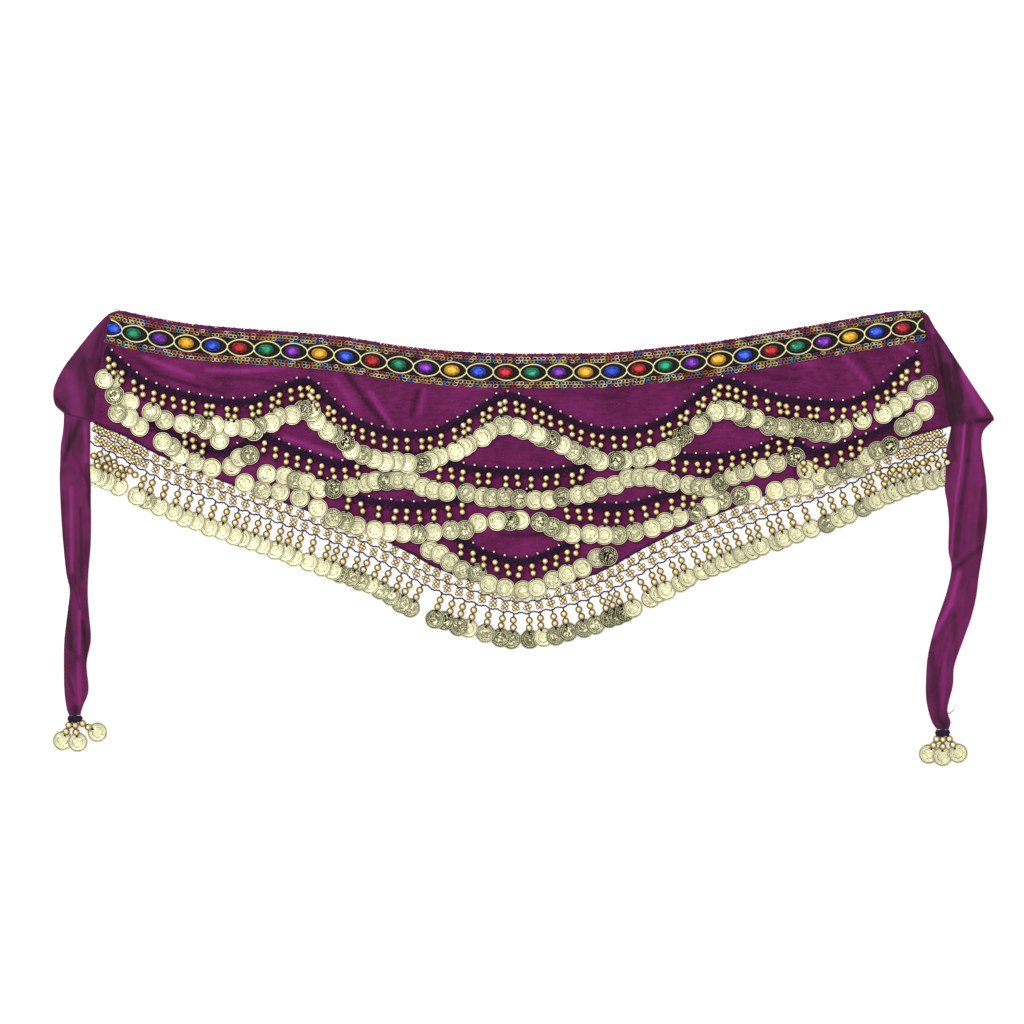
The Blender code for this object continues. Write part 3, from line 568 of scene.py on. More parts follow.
def stretch_velvet():
    """Knitted stretch velvet with a foil dusting. The nap leans in patches, so the plum goes from wine dark to
    mauve in soft streaks, and a few foil specks show in it as pale points, their glint painted into the colour."""
    made, tree, shader = new_finish("stretch_velvet")
    place = add_node(tree, "ShaderNodeTexCoord").outputs["Object"]
    patches = add_node(
        tree, "ShaderNodeTexNoise", {"Vector": place, "Scale": per(34), "Detail": 4.0, "Roughness": 0.6})
    drawn_out = add_node(tree, "ShaderNodeMapping", {"Vector": place, "Scale": (0.25, 1.0, 1.0)})
    streaks = add_node(
        tree, "ShaderNodeTexNoise",
        {"Vector": drawn_out.outputs[0], "Scale": per(2.2), "Detail": 4.0, "Roughness": 0.7})
    lean = add_node(
        tree, "ShaderNodeMix", {0: 0.5, 2: patches.outputs["Fac"], 3: streaks.outputs["Fac"]})
    # The last two colours are the painted shade and the painted highlight of the folds
    nap = cloth_tone(tree, lean.outputs[0], "#530A3D", "#771B5E", "#1E020E", "#A0308A")
    # Foil specks are real; their glint is painted as a pale colour
    specks = add_node(tree, "ShaderNodeTexVoronoi", {"Vector": place, "Scale": per(1.5)})
    glint = add_node(
        tree, "ShaderNodeMath", {0: specks.outputs["Distance"], 1: 0.16}, operation="LESS_THAN").outputs[0]
    cell = add_node(tree, "ShaderNodeSeparateColor", {"Color": specks.outputs["Color"]})
    lit = add_node(
        tree, "ShaderNodeMath", {0: cell.outputs["Red"], 1: 0.82}, operation="GREATER_THAN").outputs[0]
    foil = add_node(tree, "ShaderNodeMath", {0: glint, 1: lit}, operation="MULTIPLY").outputs[0]
    face = add_node(
        tree, "ShaderNodeMix", {0: foil, 6: nap, 7: linear("#93487C")}, data_type="RGBA")
    pile = add_node(
        tree, "ShaderNodeTexNoise", {"Vector": place, "Scale": per(0.9), "Detail": 2.0})
    rough = add_node(
        tree, "ShaderNodeBump",
        {"Strength": 0.5, "Distance": 0.0004, "Height": pile.outputs["Fac"]})
    crushed = add_node(
        tree, "ShaderNodeBump",
        {"Strength": 0.7, "Distance": 0.002, "Height": lean.outputs[0], "Normal": rough.outputs[0]})
    tree.links.new(face.outputs[2], shader.inputs["Base Color"])
    tree.links.new(crushed.outputs[0], shader.inputs["Normal"])
    shader.inputs["Roughness"].default_value = 0.75
    shader.inputs["Specular IOR Level"].default_value = 0.2
    shader.inputs["Sheen Weight"].default_value = 0.1
    shader.inputs["Sheen Roughness"].default_value = 0.4
    shader.inputs["Sheen Tint"].default_value = linear("#D070B8")
    return made


def chiffon():
    """Woven polyester chiffon in folded layers: smoother than the velvet, a fine crinkle and a soft sheen."""
    made, tree, shader = new_finish("folded_chiffon")
    place = add_node(tree, "ShaderNodeTexCoord").outputs["Object"]
    tone = add_node(
        tree, "ShaderNodeTexNoise", {"Vector": place, "Scale": per(26), "Detail": 3.0})
    # The last two colours are the painted shade and the painted highlight of the folds
    colour = cloth_tone(tree, tone.outputs["Fac"], "#500A3C", "#681650", "#1A0210", "#98287F")
    drawn_out = add_node(tree, "ShaderNodeMapping", {"Vector": place, "Scale": (1.0, 0.3, 1.0)})
    crinkle = add_node(
        tree, "ShaderNodeTexNoise",
        {"Vector": drawn_out.outputs[0], "Scale": per(3.2), "Detail": 4.0, "Distortion": 0.6})
    weave = add_node(
        tree, "ShaderNodeTexWave", {"Vector": place, "Scale": per(0.9) / 3, "Distortion": 1.5},
        bands_direction="DIAGONAL")
    threads = add_node(
        tree, "ShaderNodeBump", {"Strength": 0.12, "Distance": 0.0002, "Height": weave.outputs["Fac"]})
    folds = add_node(
        tree, "ShaderNodeBump",
        {"Strength": 0.45, "Distance": 0.0009, "Height": crinkle.outputs["Fac"], "Normal": threads.outputs[0]})
    tree.links.new(colour, shader.inputs["Base Color"])
    tree.links.new(folds.outputs[0], shader.inputs["Normal"])
    shader.inputs["Roughness"].default_value = 0.6
    shader.inputs["Specular IOR Level"].default_value = 0.2
    shader.inputs["Sheen Weight"].default_value = 0.06
    shader.inputs["Sheen Tint"].default_value = linear("#D070B8")
    return made


def crochet_cotton():
    """Mercerised cotton thread, dark violet. Twist and stray fibres break up its light."""
    made, tree, shader = new_finish("crochet_cotton")
    place = add_node(tree, "ShaderNodeTexCoord").outputs["Object"]
    fibre = add_node(
        tree, "ShaderNodeTexNoise", {"Vector": place, "Scale": per(1.1), "Detail": 4.0, "Roughness": 0.7})
    tone = add_node(tree, "ShaderNodeValToRGB", {"Fac": fibre.outputs["Fac"]})
    set_ramp(tone, ((0.3, "#160620"), (0.75, "#3A1448")))
    twist = add_node(
        tree, "ShaderNodeBump", {"Strength": 0.7, "Distance": 0.0004, "Height": fibre.outputs["Fac"]})
    tree.links.new(tone.outputs["Color"], shader.inputs["Base Color"])
    tree.links.new(twist.outputs[0], shader.inputs["Normal"])
    shader.inputs["Roughness"].default_value = 0.7
    shader.inputs["Specular IOR Level"].default_value = 0.3
    return made


def black_ribbon():
    """Woven polyester ribbon, near black, with fine ribs across it and a dull shine."""
    made, tree, shader = new_finish("woven_ribbon")
    place = add_node(tree, "ShaderNodeTexCoord").outputs["Object"]
    ribs = add_node(
        tree, "ShaderNodeTexWave", {"Vector": place, "Scale": per(1.2) / 3, "Distortion": 1.0})
    dust = add_node(
        tree, "ShaderNodeTexNoise", {"Vector": place, "Scale": per(2.5), "Detail": 4.0})
    tone = add_node(tree, "ShaderNodeValToRGB", {"Fac": dust.outputs["Fac"]})
    set_ramp(tone, ((0.4, "#070608"), (0.8, "#201C14")))
    weave = add_node(
        tree, "ShaderNodeBump", {"Strength": 0.5, "Distance": 0.0003, "Height": ribs.outputs["Fac"]})
    tree.links.new(tone.outputs["Color"], shader.inputs["Base Color"])
    tree.links.new(weave.outputs[0], shader.inputs["Normal"])
    shader.inputs["Roughness"].default_value = 0.6
    shader.inputs["Specular IOR Level"].default_value = 0.2
    return made


def metal_thread(name, code):
    """Metallised polyester thread wound on a core: bright, with a fine wound texture."""
    made, tree, shader = new_finish(name)
    place = add_node(tree, "ShaderNodeTexCoord").outputs["Object"]
    wound = add_node(
        tree, "ShaderNodeTexNoise", {"Vector": place, "Scale": per(0.7), "Detail": 3.0})
    tone = add_node(
        tree, "ShaderNodeMix",
        {0: wound.outputs["Fac"], 6: [c * 0.8 for c in linear(code)], 7: linear(code)}, data_type="RGBA")
    turns = add_node(
        tree, "ShaderNodeBump", {"Strength": 0.6, "Distance": 0.0003, "Height": wound.outputs["Fac"]})
    tree.links.new(tone.outputs[2], shader.inputs["Base Color"])
    tree.links.new(turns.outputs[0], shader.inputs["Normal"])
    shader.inputs["Metallic"].default_value = 0.6
    shader.inputs["Roughness"].default_value = 0.35
    return made


def plated_bead(name, bright, deep, rim, roughness):
    """Electroplated acrylic bead: a mirror of warm gold, thinly worn, with painted shade that browns it where it
    turns away.
    """
    made, tree, shader = new_finish(name)
    place = add_node(tree, "ShaderNodeTexCoord").outputs["Object"]
    worn = add_node(
        tree, "ShaderNodeTexNoise", {"Vector": place, "Scale": per(4.0), "Detail": 3.0, "Roughness": 0.6})
    tone = add_node(tree, "ShaderNodeValToRGB", {"Fac": worn.outputs["Fac"]})
    set_ramp(tone, ((0.3, deep), (0.6, bright)))
    # Painted shade: the bead goes to its rim colour where its face turns away from the view
    turned = add_node(tree, "ShaderNodeLayerWeight", {"Blend": 0.5}).outputs["Facing"]
    away = add_node(tree, "ShaderNodeMapRange", {"Value": turned, 1: 0.14, 2: 0.5}).outputs[0]
    plate = add_node(
        tree, "ShaderNodeMix", {0: away, 6: tone.outputs["Color"], 7: linear(rim)}, data_type="RGBA")
    tree.links.new(plate.outputs[2], shader.inputs["Base Color"])
    shader.inputs["Metallic"].default_value = 1.0
    shader.inputs["Roughness"].default_value = roughness
    return made


def stamped_coin():
    """Stamped aluminium plated a pale greenish gold. Inside the rim runs a ring of bars, and a worn crest
    stands up from the field. Colour follows the relief: painted shade in the grooves and low places, painted
    highlight on the bars, lines and rim. Coins with a high tarnish value are darker over their field."""
    made, tree, shader = new_finish("stamped_coin")
    uv = add_node(tree, "ShaderNodeUVMap", uv_map="UVMap").outputs[0]
    centred = add_node(
        tree, "ShaderNodeMapping", {"Vector": uv, "Location": (-1.0, -1.0, 0.0), "Scale": (2.0, 2.0, 1.0)}
    ).outputs[0]
    radius = add_node(tree, "ShaderNodeVectorMath", {0: centred}, operation="LENGTH").outputs["Value"]
    turn = add_node(tree, "ShaderNodeTexGradient", {"Vector": centred}, gradient_type="RADIAL").outputs["Fac"]
    place = add_node(tree, "ShaderNodeTexCoord").outputs["Object"]
    worn = add_node(
        tree, "ShaderNodeTexNoise", {"Vector": place, "Scale": per(3.0), "Detail": 3.0, "Roughness": 0.7})
    bars_round = add_node(
        tree, "ShaderNodeMath", {0: turn, 1: 2 * math.pi * BARS_ROUND}, operation="MULTIPLY").outputs[0]
    uneven = add_node(
        tree, "ShaderNodeMath", {0: worn.outputs["Fac"], 1: 7.0, 2: bars_round},
        operation="MULTIPLY_ADD").outputs[0]
    bars = add_node(tree, "ShaderNodeMath", {0: uneven}, operation="SINE").outputs[0]
    bar_ring = add_node(tree, "ShaderNodeValToRGB", {"Fac": radius})
    set_ramp(bar_ring, ((0.62, 0.0), (0.66, 1.0), (0.8, 1.0), (0.84, 0.0)))
    bars_up = add_node(
        tree, "ShaderNodeMath", {0: bars, 1: bar_ring.outputs["Color"]}, operation="MULTIPLY").outputs[0]
    curls = add_node(
        tree, "ShaderNodeTexNoise", {"Vector": place, "Scale": per(4.6), "Detail": 2.0, "Distortion": 0.8})
    wavering = add_node(
        tree, "ShaderNodeMath", {0: curls.outputs["Fac"], 1: 0.3, 2: radius},
        operation="MULTIPLY_ADD").outputs[0]
    lines = add_node(tree, "ShaderNodeValToRGB", {"Fac": wavering})
    set_ramp(
        lines, ((0.0, 0.3), (0.62, 0.3), (0.64, 0.0), (0.67, 0.0), (0.69, 0.85), (0.72, 0.85), (0.75, 0.3)))
    rim = add_node(tree, "ShaderNodeValToRGB", {"Fac": radius})
    set_ramp(rim, ((0.81, 0.0), (0.84, 0.8), (0.86, 0.0), (0.9, 0.0), (0.92, 1.0), (0.955, 1.0), (0.98, 0.0)))
    inside = add_node(tree, "ShaderNodeMath", {0: radius, 1: 0.82}, operation="LESS_THAN").outputs[0]
    lines = add_node(
        tree, "ShaderNodeMath", {0: lines.outputs["Color"], 1: inside, 2: rim.outputs["Color"]},
        operation="MULTIPLY_ADD").outputs[0]
    from_line = add_node(
        tree, "ShaderNodeMath", {0: curls.outputs["Fac"], 1: 0.5}, operation="SUBTRACT").outputs[0]
    from_line = add_node(tree, "ShaderNodeMath", {0: from_line}, operation="ABSOLUTE").outputs[0]
    cuts = add_node(tree, "ShaderNodeMapRange", {"Value": from_line, 1: 0.03, 2: 0.075}).outputs[0]
    blots = add_node(tree, "ShaderNodeMapRange", {"Value": worn.outputs["Fac"], 1: 0.43, 2: 0.48}).outputs[0]
    crest = add_node(tree, "ShaderNodeMath", {0: cuts, 1: blots}, operation="MULTIPLY").outputs[0]
    field = add_node(tree, "ShaderNodeValToRGB", {"Fac": radius})
    set_ramp(field, ((0.48, 1.0), (0.54, 0.0), (0.6, 0.0), (0.66, 0.5), (0.8, 0.5), (0.84, 0.0)))
    crest = add_node(
        tree, "ShaderNodeMath", {0: crest, 1: field.outputs["Color"]}, operation="MULTIPLY").outputs[0]
    raised = add_node(
        tree, "ShaderNodeMath", {0: bars_up, 1: lines}, operation="MAXIMUM").outputs[0]
    relief = add_node(
        tree, "ShaderNodeMath", {0: crest, 1: 0.7, 2: raised}, operation="MULTIPLY_ADD").outputs[0]
    tarnish = add_node(tree, "ShaderNodeAttribute", attribute_name="tarnish").outputs["Fac"]
    # Painted shade and painted highlight of the relief: low places dark, raised bars, lines and rim bright
    clean = add_node(tree, "ShaderNodeValToRGB", {"Fac": relief})
    set_ramp(clean, ((0.06, "#45421F"), (0.4, "#FFFBCE")))
    dull = add_node(tree, "ShaderNodeValToRGB", {"Fac": relief})
    set_ramp(dull, ((0.5, "#16170C"), (0.9, "#E4E1B6")))
    plate = add_node(
        tree, "ShaderNodeMix", {0: tarnish, 6: clean.outputs["Color"], 7: dull.outputs["Color"]},
        data_type="RGBA")
    stamped = add_node(
        tree, "ShaderNodeBump", {"Strength": 0.8, "Distance": 0.0003, "Height": relief})
    tree.links.new(plate.outputs[2], shader.inputs["Base Color"])
    tree.links.new(stamped.outputs[0], shader.inputs["Normal"])
    shader.inputs["Metallic"].default_value = 1.0
    shader.inputs["Roughness"].default_value = 0.34
    return made


BARS_ROUND = 26


def set_ramp(ramp, stops):
    """Stops of a ramp, each a position and a grey level or a hex colour."""
    elements = ramp.color_ramp.elements
    while len(elements) < len(stops):
        elements.new(0.5)
    for element, (position, level) in zip(elements, stops):
        element.position = position
        element.color = linear(level) if isinstance(level, str) else (level, level, level, 1.0)


def foil_backed_stone(name, edge, heart):
    """Moulded acrylic stone with a foil back and glossy facets. A painted reflection of the foil makes it
    bright at its heart and deep at the edge, and facets are painted darker at random.
    """
    made, tree, shader = new_finish(name)
    uv = add_node(tree, "ShaderNodeUVMap", uv_map="UVMap").outputs[0]
    from_heart = add_node(
        tree, "ShaderNodeMapping", {"Vector": uv, "Location": (-1.0, -1.0, 0.0), "Scale": (2.0, 2.0, 1.0)}
    ).outputs[0]
    away = add_node(tree, "ShaderNodeVectorMath", {0: from_heart}, operation="LENGTH").outputs["Value"]
    # Painted reflection of the foil: bright at the heart, deep at the edge
    glow = add_node(tree, "ShaderNodeValToRGB", {"Fac": away})
    set_ramp(glow, ((0.2, heart), (0.85, edge)))
    place = add_node(tree, "ShaderNodeTexCoord").outputs["Object"]
    # Painted facet shade: each cell darkened by a random amount
    foil = add_node(
        tree, "ShaderNodeTexVoronoi", {"Vector": place, "Scale": per(3.4)})
    facet = add_node(tree, "ShaderNodeSeparateColor", {"Color": foil.outputs["Color"]}).outputs["Red"]
    flash = add_node(
        tree, "ShaderNodeMix",
        {0: facet, 6: glow.outputs["Color"], 7: [c * 0.75 for c in linear(edge)]}, data_type="RGBA")
    tree.links.new(flash.outputs[2], shader.inputs["Base Color"])
    shader.inputs["Metallic"].default_value = 0.5
    shader.inputs["Roughness"].default_value = 0.16
    shader.inputs["Specular IOR Level"].default_value = 0.2
    shader.inputs["Coat Weight"].default_value = 0.5
    shader.inputs["Coat Roughness"].default_value = 0.05
    return made


def add_mesh_piece(name, mesh, finishes, stands_for=()):
    for finish in finishes:
        mesh.materials.append(finish)
    piece = bpy.data.objects.new(name, mesh)
    bpy.context.scene.collection.objects.link(piece)
    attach(piece, "root")
    if stands_for:
        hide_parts(*stands_for)
    return piece


def add_shades(bm, shades):
    """Writes where light is lost or given back into the mesh."""
    layer = bm.verts.layers.float.new("shade")
    for vert in bm.verts:
        shade = SHADE_GAIN * crease_height(vert.co.x, vert.co.y, shades)
        vert[layer] = min(max(shade, BRIGHTEST), DARKEST)


SHADE_GAIN = 1.4
BRIGHTEST, DARKEST = -0.9, 0.8


def add_piece(name, bm, finishes, stands_for=(), smooth=True):
    """Turns a mesh in millimetres into a piece of the scarf."""
    bmesh.ops.scale(bm, vec=(MM, MM, MM), verts=bm.verts)
    mesh = bpy.data.meshes.new(name)
    bm.to_mesh(mesh)
    bm.free()
    if smooth:
        mesh.shade_smooth()
        mesh.set_sharp_from_angle(angle=math.radians(50))
    return add_mesh_piece(name, mesh, finishes, stands_for)


def thread_piece(name, runs, radius, finishes, stands_for=(), sides=0):
    """Round threads. Each run is its points, whether it closes, and its finish number."""
    curve = bpy.data.curves.new(name, "CURVE")
    curve.dimensions = "3D"
    curve.bevel_depth = radius * MM
    curve.bevel_resolution = sides
    curve.use_fill_caps = True
    for material in finishes:
        curve.materials.append(material)
    for points, closes, finish in runs:
        spline = curve.splines.new("POLY")
        spline.points.add(len(points) - 1)
        for point, place in zip(spline.points, points):
            point.co = (*(c * MM for c in place), 1.0)
        spline.use_cyclic_u = closes
        spline.material_index = finish
    guide = bpy.data.objects.new(name + "_guide", curve)
    bpy.context.scene.collection.objects.link(guide)
    bpy.context.view_layer.update()
    mesh = bpy.data.meshes.new_from_object(guide.evaluated_get(bpy.context.evaluated_depsgraph_get()))
    bpy.data.objects.remove(guide)
    mesh.name = name
    mesh.shade_smooth()
    return add_mesh_piece(name, mesh, [], stands_for)


def wrapped_sheet(columns, rows, place):
    """A closed skin: a grid whose rows run round a section and whose columns run along the piece."""
    bm = bmesh.new()
    grid = bmesh.ops.create_grid(bm, x_segments=columns, y_segments=rows, size=1.0)["verts"]
    for vert in grid:
        vert.co = place((vert.co.x + 1) / 2, (vert.co.y + 1) / 2)
    bmesh.ops.remove_doubles(bm, verts=bm.verts, dist=0.001)
    rim = [edge for edge in bm.edges if edge.is_boundary]
    bmesh.ops.holes_fill(bm, edges=rim, sides=0)
    bmesh.ops.recalc_face_normals(bm, faces=bm.faces)
    return bm


def velvet_panel(ribbon_line, hem_line, finish):
    """The velvet: creased, one cloth thick, its edge softly turned."""
    bm = bmesh.new()
    grid = bmesh.ops.create_grid(bm, x_segments=PANEL_COLUMNS, y_segments=PANEL_ROWS, size=1.0)["verts"]
    for vert in grid:
        u = (vert.co.x + 1) / 2
        v = (vert.co.y + 1) / 2
        s = u * ribbon_line.length
        waist = ribbon_line.at(s, TOP_HEM_LEFT + (TOP_HEM_RIGHT - TOP_HEM_LEFT) * u)
        hem = hem_line.at(u * hem_line.length)
        drop = LEFT_CORNER_DROP * max(1 - s / LEFT_CORNER_RUN, 0.0) ** 2
        drop += RIGHT_CORNER_DROP * max(1 - (ribbon_line.length - s) / RIGHT_CORNER_RUN, 0.0) ** 2
        x, y = hem.lerp(waist, v * (1 - drop / (waist - hem).length))
        vert.co = (x, y, velvet_top(x, y))
    under = bmesh.ops.extrude_face_region(bm, geom=bm.faces[:])["geom"]
    for vert in under:
        if isinstance(vert, bmesh.types.BMVert):
            vert.co.z = max(vert.co.z - VELVET, 0.02)
    bmesh.ops.recalc_face_normals(bm, faces=bm.faces)
    edge = [e for e in bm.edges if e.calc_face_angle(0.0) > math.radians(60)]
    bmesh.ops.bevel(bm, geom=edge, offset=0.45, segments=2, profile=0.5, affect="EDGES", material=-1)
    add_shades(bm, VELVET_SHADES)
    panel = add_piece("velvet_panel", bm, [finish], ["panel"])
    return panel


PANEL_COLUMNS = 250
PANEL_ROWS = 72


def lap_height(x, y):
    """Rise of the upper layers of a tie, steep at their edge and fading behind it."""
    rise = 0.0
    for x0, y0, x1, y1, step, reach in TIE_LAPS:
        run_x, run_y = x1 - x0, y1 - y0
        length = math.hypot(run_x, run_y)
        share = ((x - x0) * run_x + (y - y0) * run_y) / length ** 2
        side = ((x - x0) * run_y - (y - y0) * run_x) / length
        ends = min(max(min(share, 1.0 - share) * 6.0 + 1.0, 0.0), 1.0)
        if ends > 0.0 and -LAP_EDGE < side < 3.0 * reach:
            edge = min((side + LAP_EDGE) / (2 * LAP_EDGE), 1.0)
            rise = max(rise, step * edge * ends * math.exp(-max(side, 0.0) / reach))
    return rise


def tie_row(rows, share):
    """The row of a tie's table at a share of its length, smooth between its neighbours."""
    at = share * (len(rows) - 1)
    i = min(int(at), len(rows) - 2)
    near = [rows[min(max(k, 0), len(rows) - 1)] for k in (i - 1, i, i + 1, i + 2)]
    smooth = [between(*column, at - i) for column in zip(*near)]
    straight = [a + (b - a) * (at - i) for a, b in zip(near[1], near[2])]
    # The flap's hem stands over the tie below it, so heights there don't run smooth
    return smooth[:4] + straight[4:]


def folded_tie(name, rows, finish, stands_for):
    """The turned-under end of the scarf and the tie that comes out below it, as one lapped and creased skin. Its
    inner side reaches a little under the velvet's edge."""

    def place(u, v):
        u = u if u < 0.999 else 0.0
        left_x, left_y, right_x, right_y, left, middle, right, fold_at, fold_height, groove = tie_row(rows, v)
        if left_x < 0 and right_y > LEFT_HEM_CORNER[1]:
            right_x += SEAM_COVER
        if left_x > 0 and left_y > RIGHT_HEM_CORNER[1]:
            left_x -= SEAM_COVER
        width = math.hypot(right_x - left_x, right_y - left_y)

        def point(f, z, out=0.0):
            f += out / width
            return (left_x + (right_x - left_x) * f, left_y + (right_y - left_y) * f, z)

        if u <= UNDER_SHARE:
            inset = min(0.8 / width, 0.2)
            return point(inset + (1 - 2 * inset) * u / UNDER_SHARE, 0.03)
        if u <= UNDER_SHARE + SIDE_SHARE:
            up = (u - UNDER_SHARE) / SIDE_SHARE
            return point(1.0, 0.05 + 0.75 * up * right, -layered(up, groove))
        if u >= 1 - SIDE_SHARE:
            up = (1 - u) / SIDE_SHARE
            return point(0.0, 0.05 + 0.75 * up * left, layered(up, groove))
        f = 1 - (u - UNDER_SHARE - SIDE_SHARE) / (1 - UNDER_SHARE - 2 * SIDE_SHARE)
        lift = left * (1 - f) * (1 - 2 * f) + 4 * middle * f * (1 - f) + right * f * (2 * f - 1)
        lift += fold_height * math.exp(-((f - fold_at) / FOLD_SPREAD) ** 2)
        rounded = 0.78 + 0.22 * min(1.0, min(f, 1 - f) / 0.1) ** 0.5
        x, y, z = point(f, lift * rounded)
        fine = crease_height(x, y, TIE_CREASES) + lap_height(x, y)
        return (x, y, max(z + fine * min(1.0, min(f, 1 - f) / 0.06), 0.4 * z))

    bm = wrapped_sheet(TIE_AROUND, TIE_ALONG, place)
    add_shades(bm, TIE_SHADES)
    return add_piece(name, bm, [finish], [stands_for])


def layered(up, groove):
    """How far a tie's side is drawn in: between its layers, and at its rounded top and foot."""
    between_layers = groove * 0.8 * math.exp(-((up - 0.5) / 0.16) ** 2)
    return between_layers + 0.7 * (2 * up - 1) ** 4


SEAM_COVER = 1.0
UNDER_SHARE = 0.22
SIDE_SHARE = 0.12
TIE_AROUND = 64
TIE_ALONG = 190


def flat_trim(route, offset, width, base, thick, crown, count):
    """A woven band along a route, a little higher in its middle."""
    def place(u, v):
        s = TRIM_START + v * (route.length - TRIM_START - TRIM_END)
        across, up = TRIM_SECTION[round(u * (len(TRIM_SECTION) - 1))]
        x, y = route.at(s, offset + across * width / 2)
        return (x, y, base + thick * up + crown * up * (1 - across * across))

    return wrapped_sheet(len(TRIM_SECTION) - 1, count, place)


# Section of a woven band: across and up, as shares
TRIM_SECTION = (
    (-1.0, 0.0), (1.0, 0.0), (1.0, 0.6), (0.94, 0.92), (0.8, 1.0), (0.4, 1.0), (0.0, 1.0), (-0.4, 1.0),
    (-0.8, 1.0), (-0.94, 0.92), (-1.0, 0.6), (-1.0, 0.0),
)


def ribbon_and_rings(ribbon_line, finishes):
    """The black ribbon, and the gold cord laid round each stone in ovals that meet end to end."""
    bm = flat_trim(ribbon_line, 0.0, RIBBON_WIDTH, VELVET + CLOTH_LIFT, 1.3, 0.1, 220)
    add_piece("ribbon_woven", bm, [finishes["ribbon"]], ["ribbon_band"])
    places = gem_places(ribbon_line)
    pitch = places[2] - places[1]
    first, last = TRIM_START + 0.6, ribbon_line.length - TRIM_END - 0.6
    runs = []
    for number in range(GEM_COUNT + 1):
        middle = SECOND_GEM + RING_SHIFT + (number - 1) * pitch
        oval = []
        for turn in spread(0.0, 2 * math.pi, RING_POINTS + 1)[:-1]:
            s = middle + math.cos(turn) * (pitch / 2 + 0.1)
            away = math.sin(turn) * RING_HALF_HEIGHT * (1 - 0.06 * math.cos(2 * turn))
            inside = first < s < last
            s = min(max(s, first), last)
            oval.append((inside, (*ribbon_line.at(s, away), RIBBON_TOP + 0.5 + 0.25 * math.cos(2 * turn))))
        outside = [k for k, (inside, _) in enumerate(oval) if not inside]
        if not outside:
            runs.append(([place for _, place in oval], True, 0))
            continue
        if outside[0] == 0:
            start = next(k for k, (inside, _) in enumerate(oval) if inside)
        else:
            start = outside[-1] + 1
        turned = oval[start:] + oval[:start]
        runs.append(([place for inside, place in turned if inside], False, 0))
    thread_piece("ring_cord", runs, RING_CORD, [finishes["ring_cord"]], sides=1)


def gem_places(ribbon_line):
    return [FIRST_GEM] + spread(SECOND_GEM, ribbon_line.length - LAST_GEM, GEM_COUNT - 1)


RING_SHIFT = 1.2
RING_POINTS = 36
RING_HALF_HEIGHT = 6.5
RING_CORD = 0.62


def gem_stones(ribbon_line, finishes):
    """Faceted oval stones: a girdle, a crown of kite facets and a flat table."""
    for number, s in enumerate(gem_places(ribbon_line)):
        kind = FIRST_GEMS[number] if number < 5 else NEXT_GEMS[(number - 5) % 5]
        bm = bmesh.new()
        for sides, turn, reach, height in GEM_RINGS:
            ring = bmesh.ops.create_circle(
                bm, segments=sides, radius=reach,
                matrix=Matrix.Translation((0, 0, height)) @ Matrix.Rotation(turn, 4, "Z"))["verts"]
            bmesh.ops.scale(bm, vec=(GEM_LENGTH / 2, GEM_WIDTH / 2, GEM_HEIGHT), verts=ring)
        bmesh.ops.convex_hull(bm, input=bm.verts)
        loose = [e for e in bm.edges if not e.link_faces]
        bmesh.ops.delete(bm, geom=loose, context="EDGES")
        bmesh.ops.dissolve_limit(bm, angle_limit=math.radians(2), verts=bm.verts, edges=bm.edges)
        uv = bm.loops.layers.uv.new("UVMap")
        for face in bm.faces:
            for loop in face.loops:
                x, y, _ = loop.vert.co
                loop[uv].uv = (0.5 + x / GEM_LENGTH, 0.5 + y / GEM_WIDTH)
        bmesh.ops.recalc_face_normals(bm, faces=bm.faces)
        along, centre = ribbon_line.along(s), ribbon_line.at(s)
        bmesh.ops.rotate(
            bm, cent=(0, 0, 0), matrix=Matrix.Rotation(math.atan2(along.y, along.x), 3, "Z"), verts=bm.verts)
        bmesh.ops.translate(bm, vec=(*centre, RIBBON_TOP + 0.35), verts=bm.verts)
        add_piece(
            f"stone_{number + 1:02d}", bm, [finishes["stone_" + kind]],
            [f"gem_{number + 1:02d}"], smooth=False)


# Rings of points of a stone: corners, turn, reach and height as shares
GEM_RINGS = (
    (16, 0.0, 0.94, 0.0),
    (16, 0.0, 1.0, 0.14),
    (16, 0.0, 1.0, 0.3),
    (8, math.pi / 8, 0.82, 0.72),
    (8, 0.0, 0.56, 1.0),
)


def loop_braid(name, ribbon_line, offset, finishes, stands_for):
    """Braid of small metallic loops in changing colours on a dark tape, two rows of loops side by side."""
    tape = flat_trim(ribbon_line, offset, BRAID_WIDTH, VELVET + CLOTH_LIFT, 0.7, 0.0, 200)
    add_piece(name + "_tape", tape, [finishes["ribbon"]], [stands_for])
    threads = [finishes["braid_" + kind] for kind in BRAID_THREADS]
    runs = []
    for row, away in enumerate((-1.3, 1.3)):
        s = TRIM_START + 1.5 + row * 0.9
        while s < ribbon_line.length - TRIM_END - 2.0:
            hue = CHANCE.choice(BRAID_MIX)
            centre, along = ribbon_line.at(s, offset + away), ribbon_line.along(s)
            across = Vector((-along.y, along.x))
            slant = CHANCE.uniform(-0.5, 0.5)
            long, high = CHANCE.uniform(1.7, 2.2), CHANCE.uniform(1.1, 1.5)
            loop = []
            for turn in spread(0.0, 2 * math.pi, 11)[:-1]:
                reach = along * (long * math.cos(turn) + slant * math.sin(turn))
                reach += across * high * math.sin(turn)
                loop.append((*(centre + reach), VELVET + CLOTH_LIFT + 1.15 + 0.3 * math.cos(turn)))
            for _ in range(CHANCE.choice((1, 1, 2))):
                runs.append((loop, True, hue))
            s += CHANCE.uniform(2.6, 3.5)
    thread_piece(name + "_loops", runs, 0.33, threads)


BRAID_MIX = (0, 0, 0, 1, 1, 1, 1, 2, 2, 2, 5, 5, 3, 4)


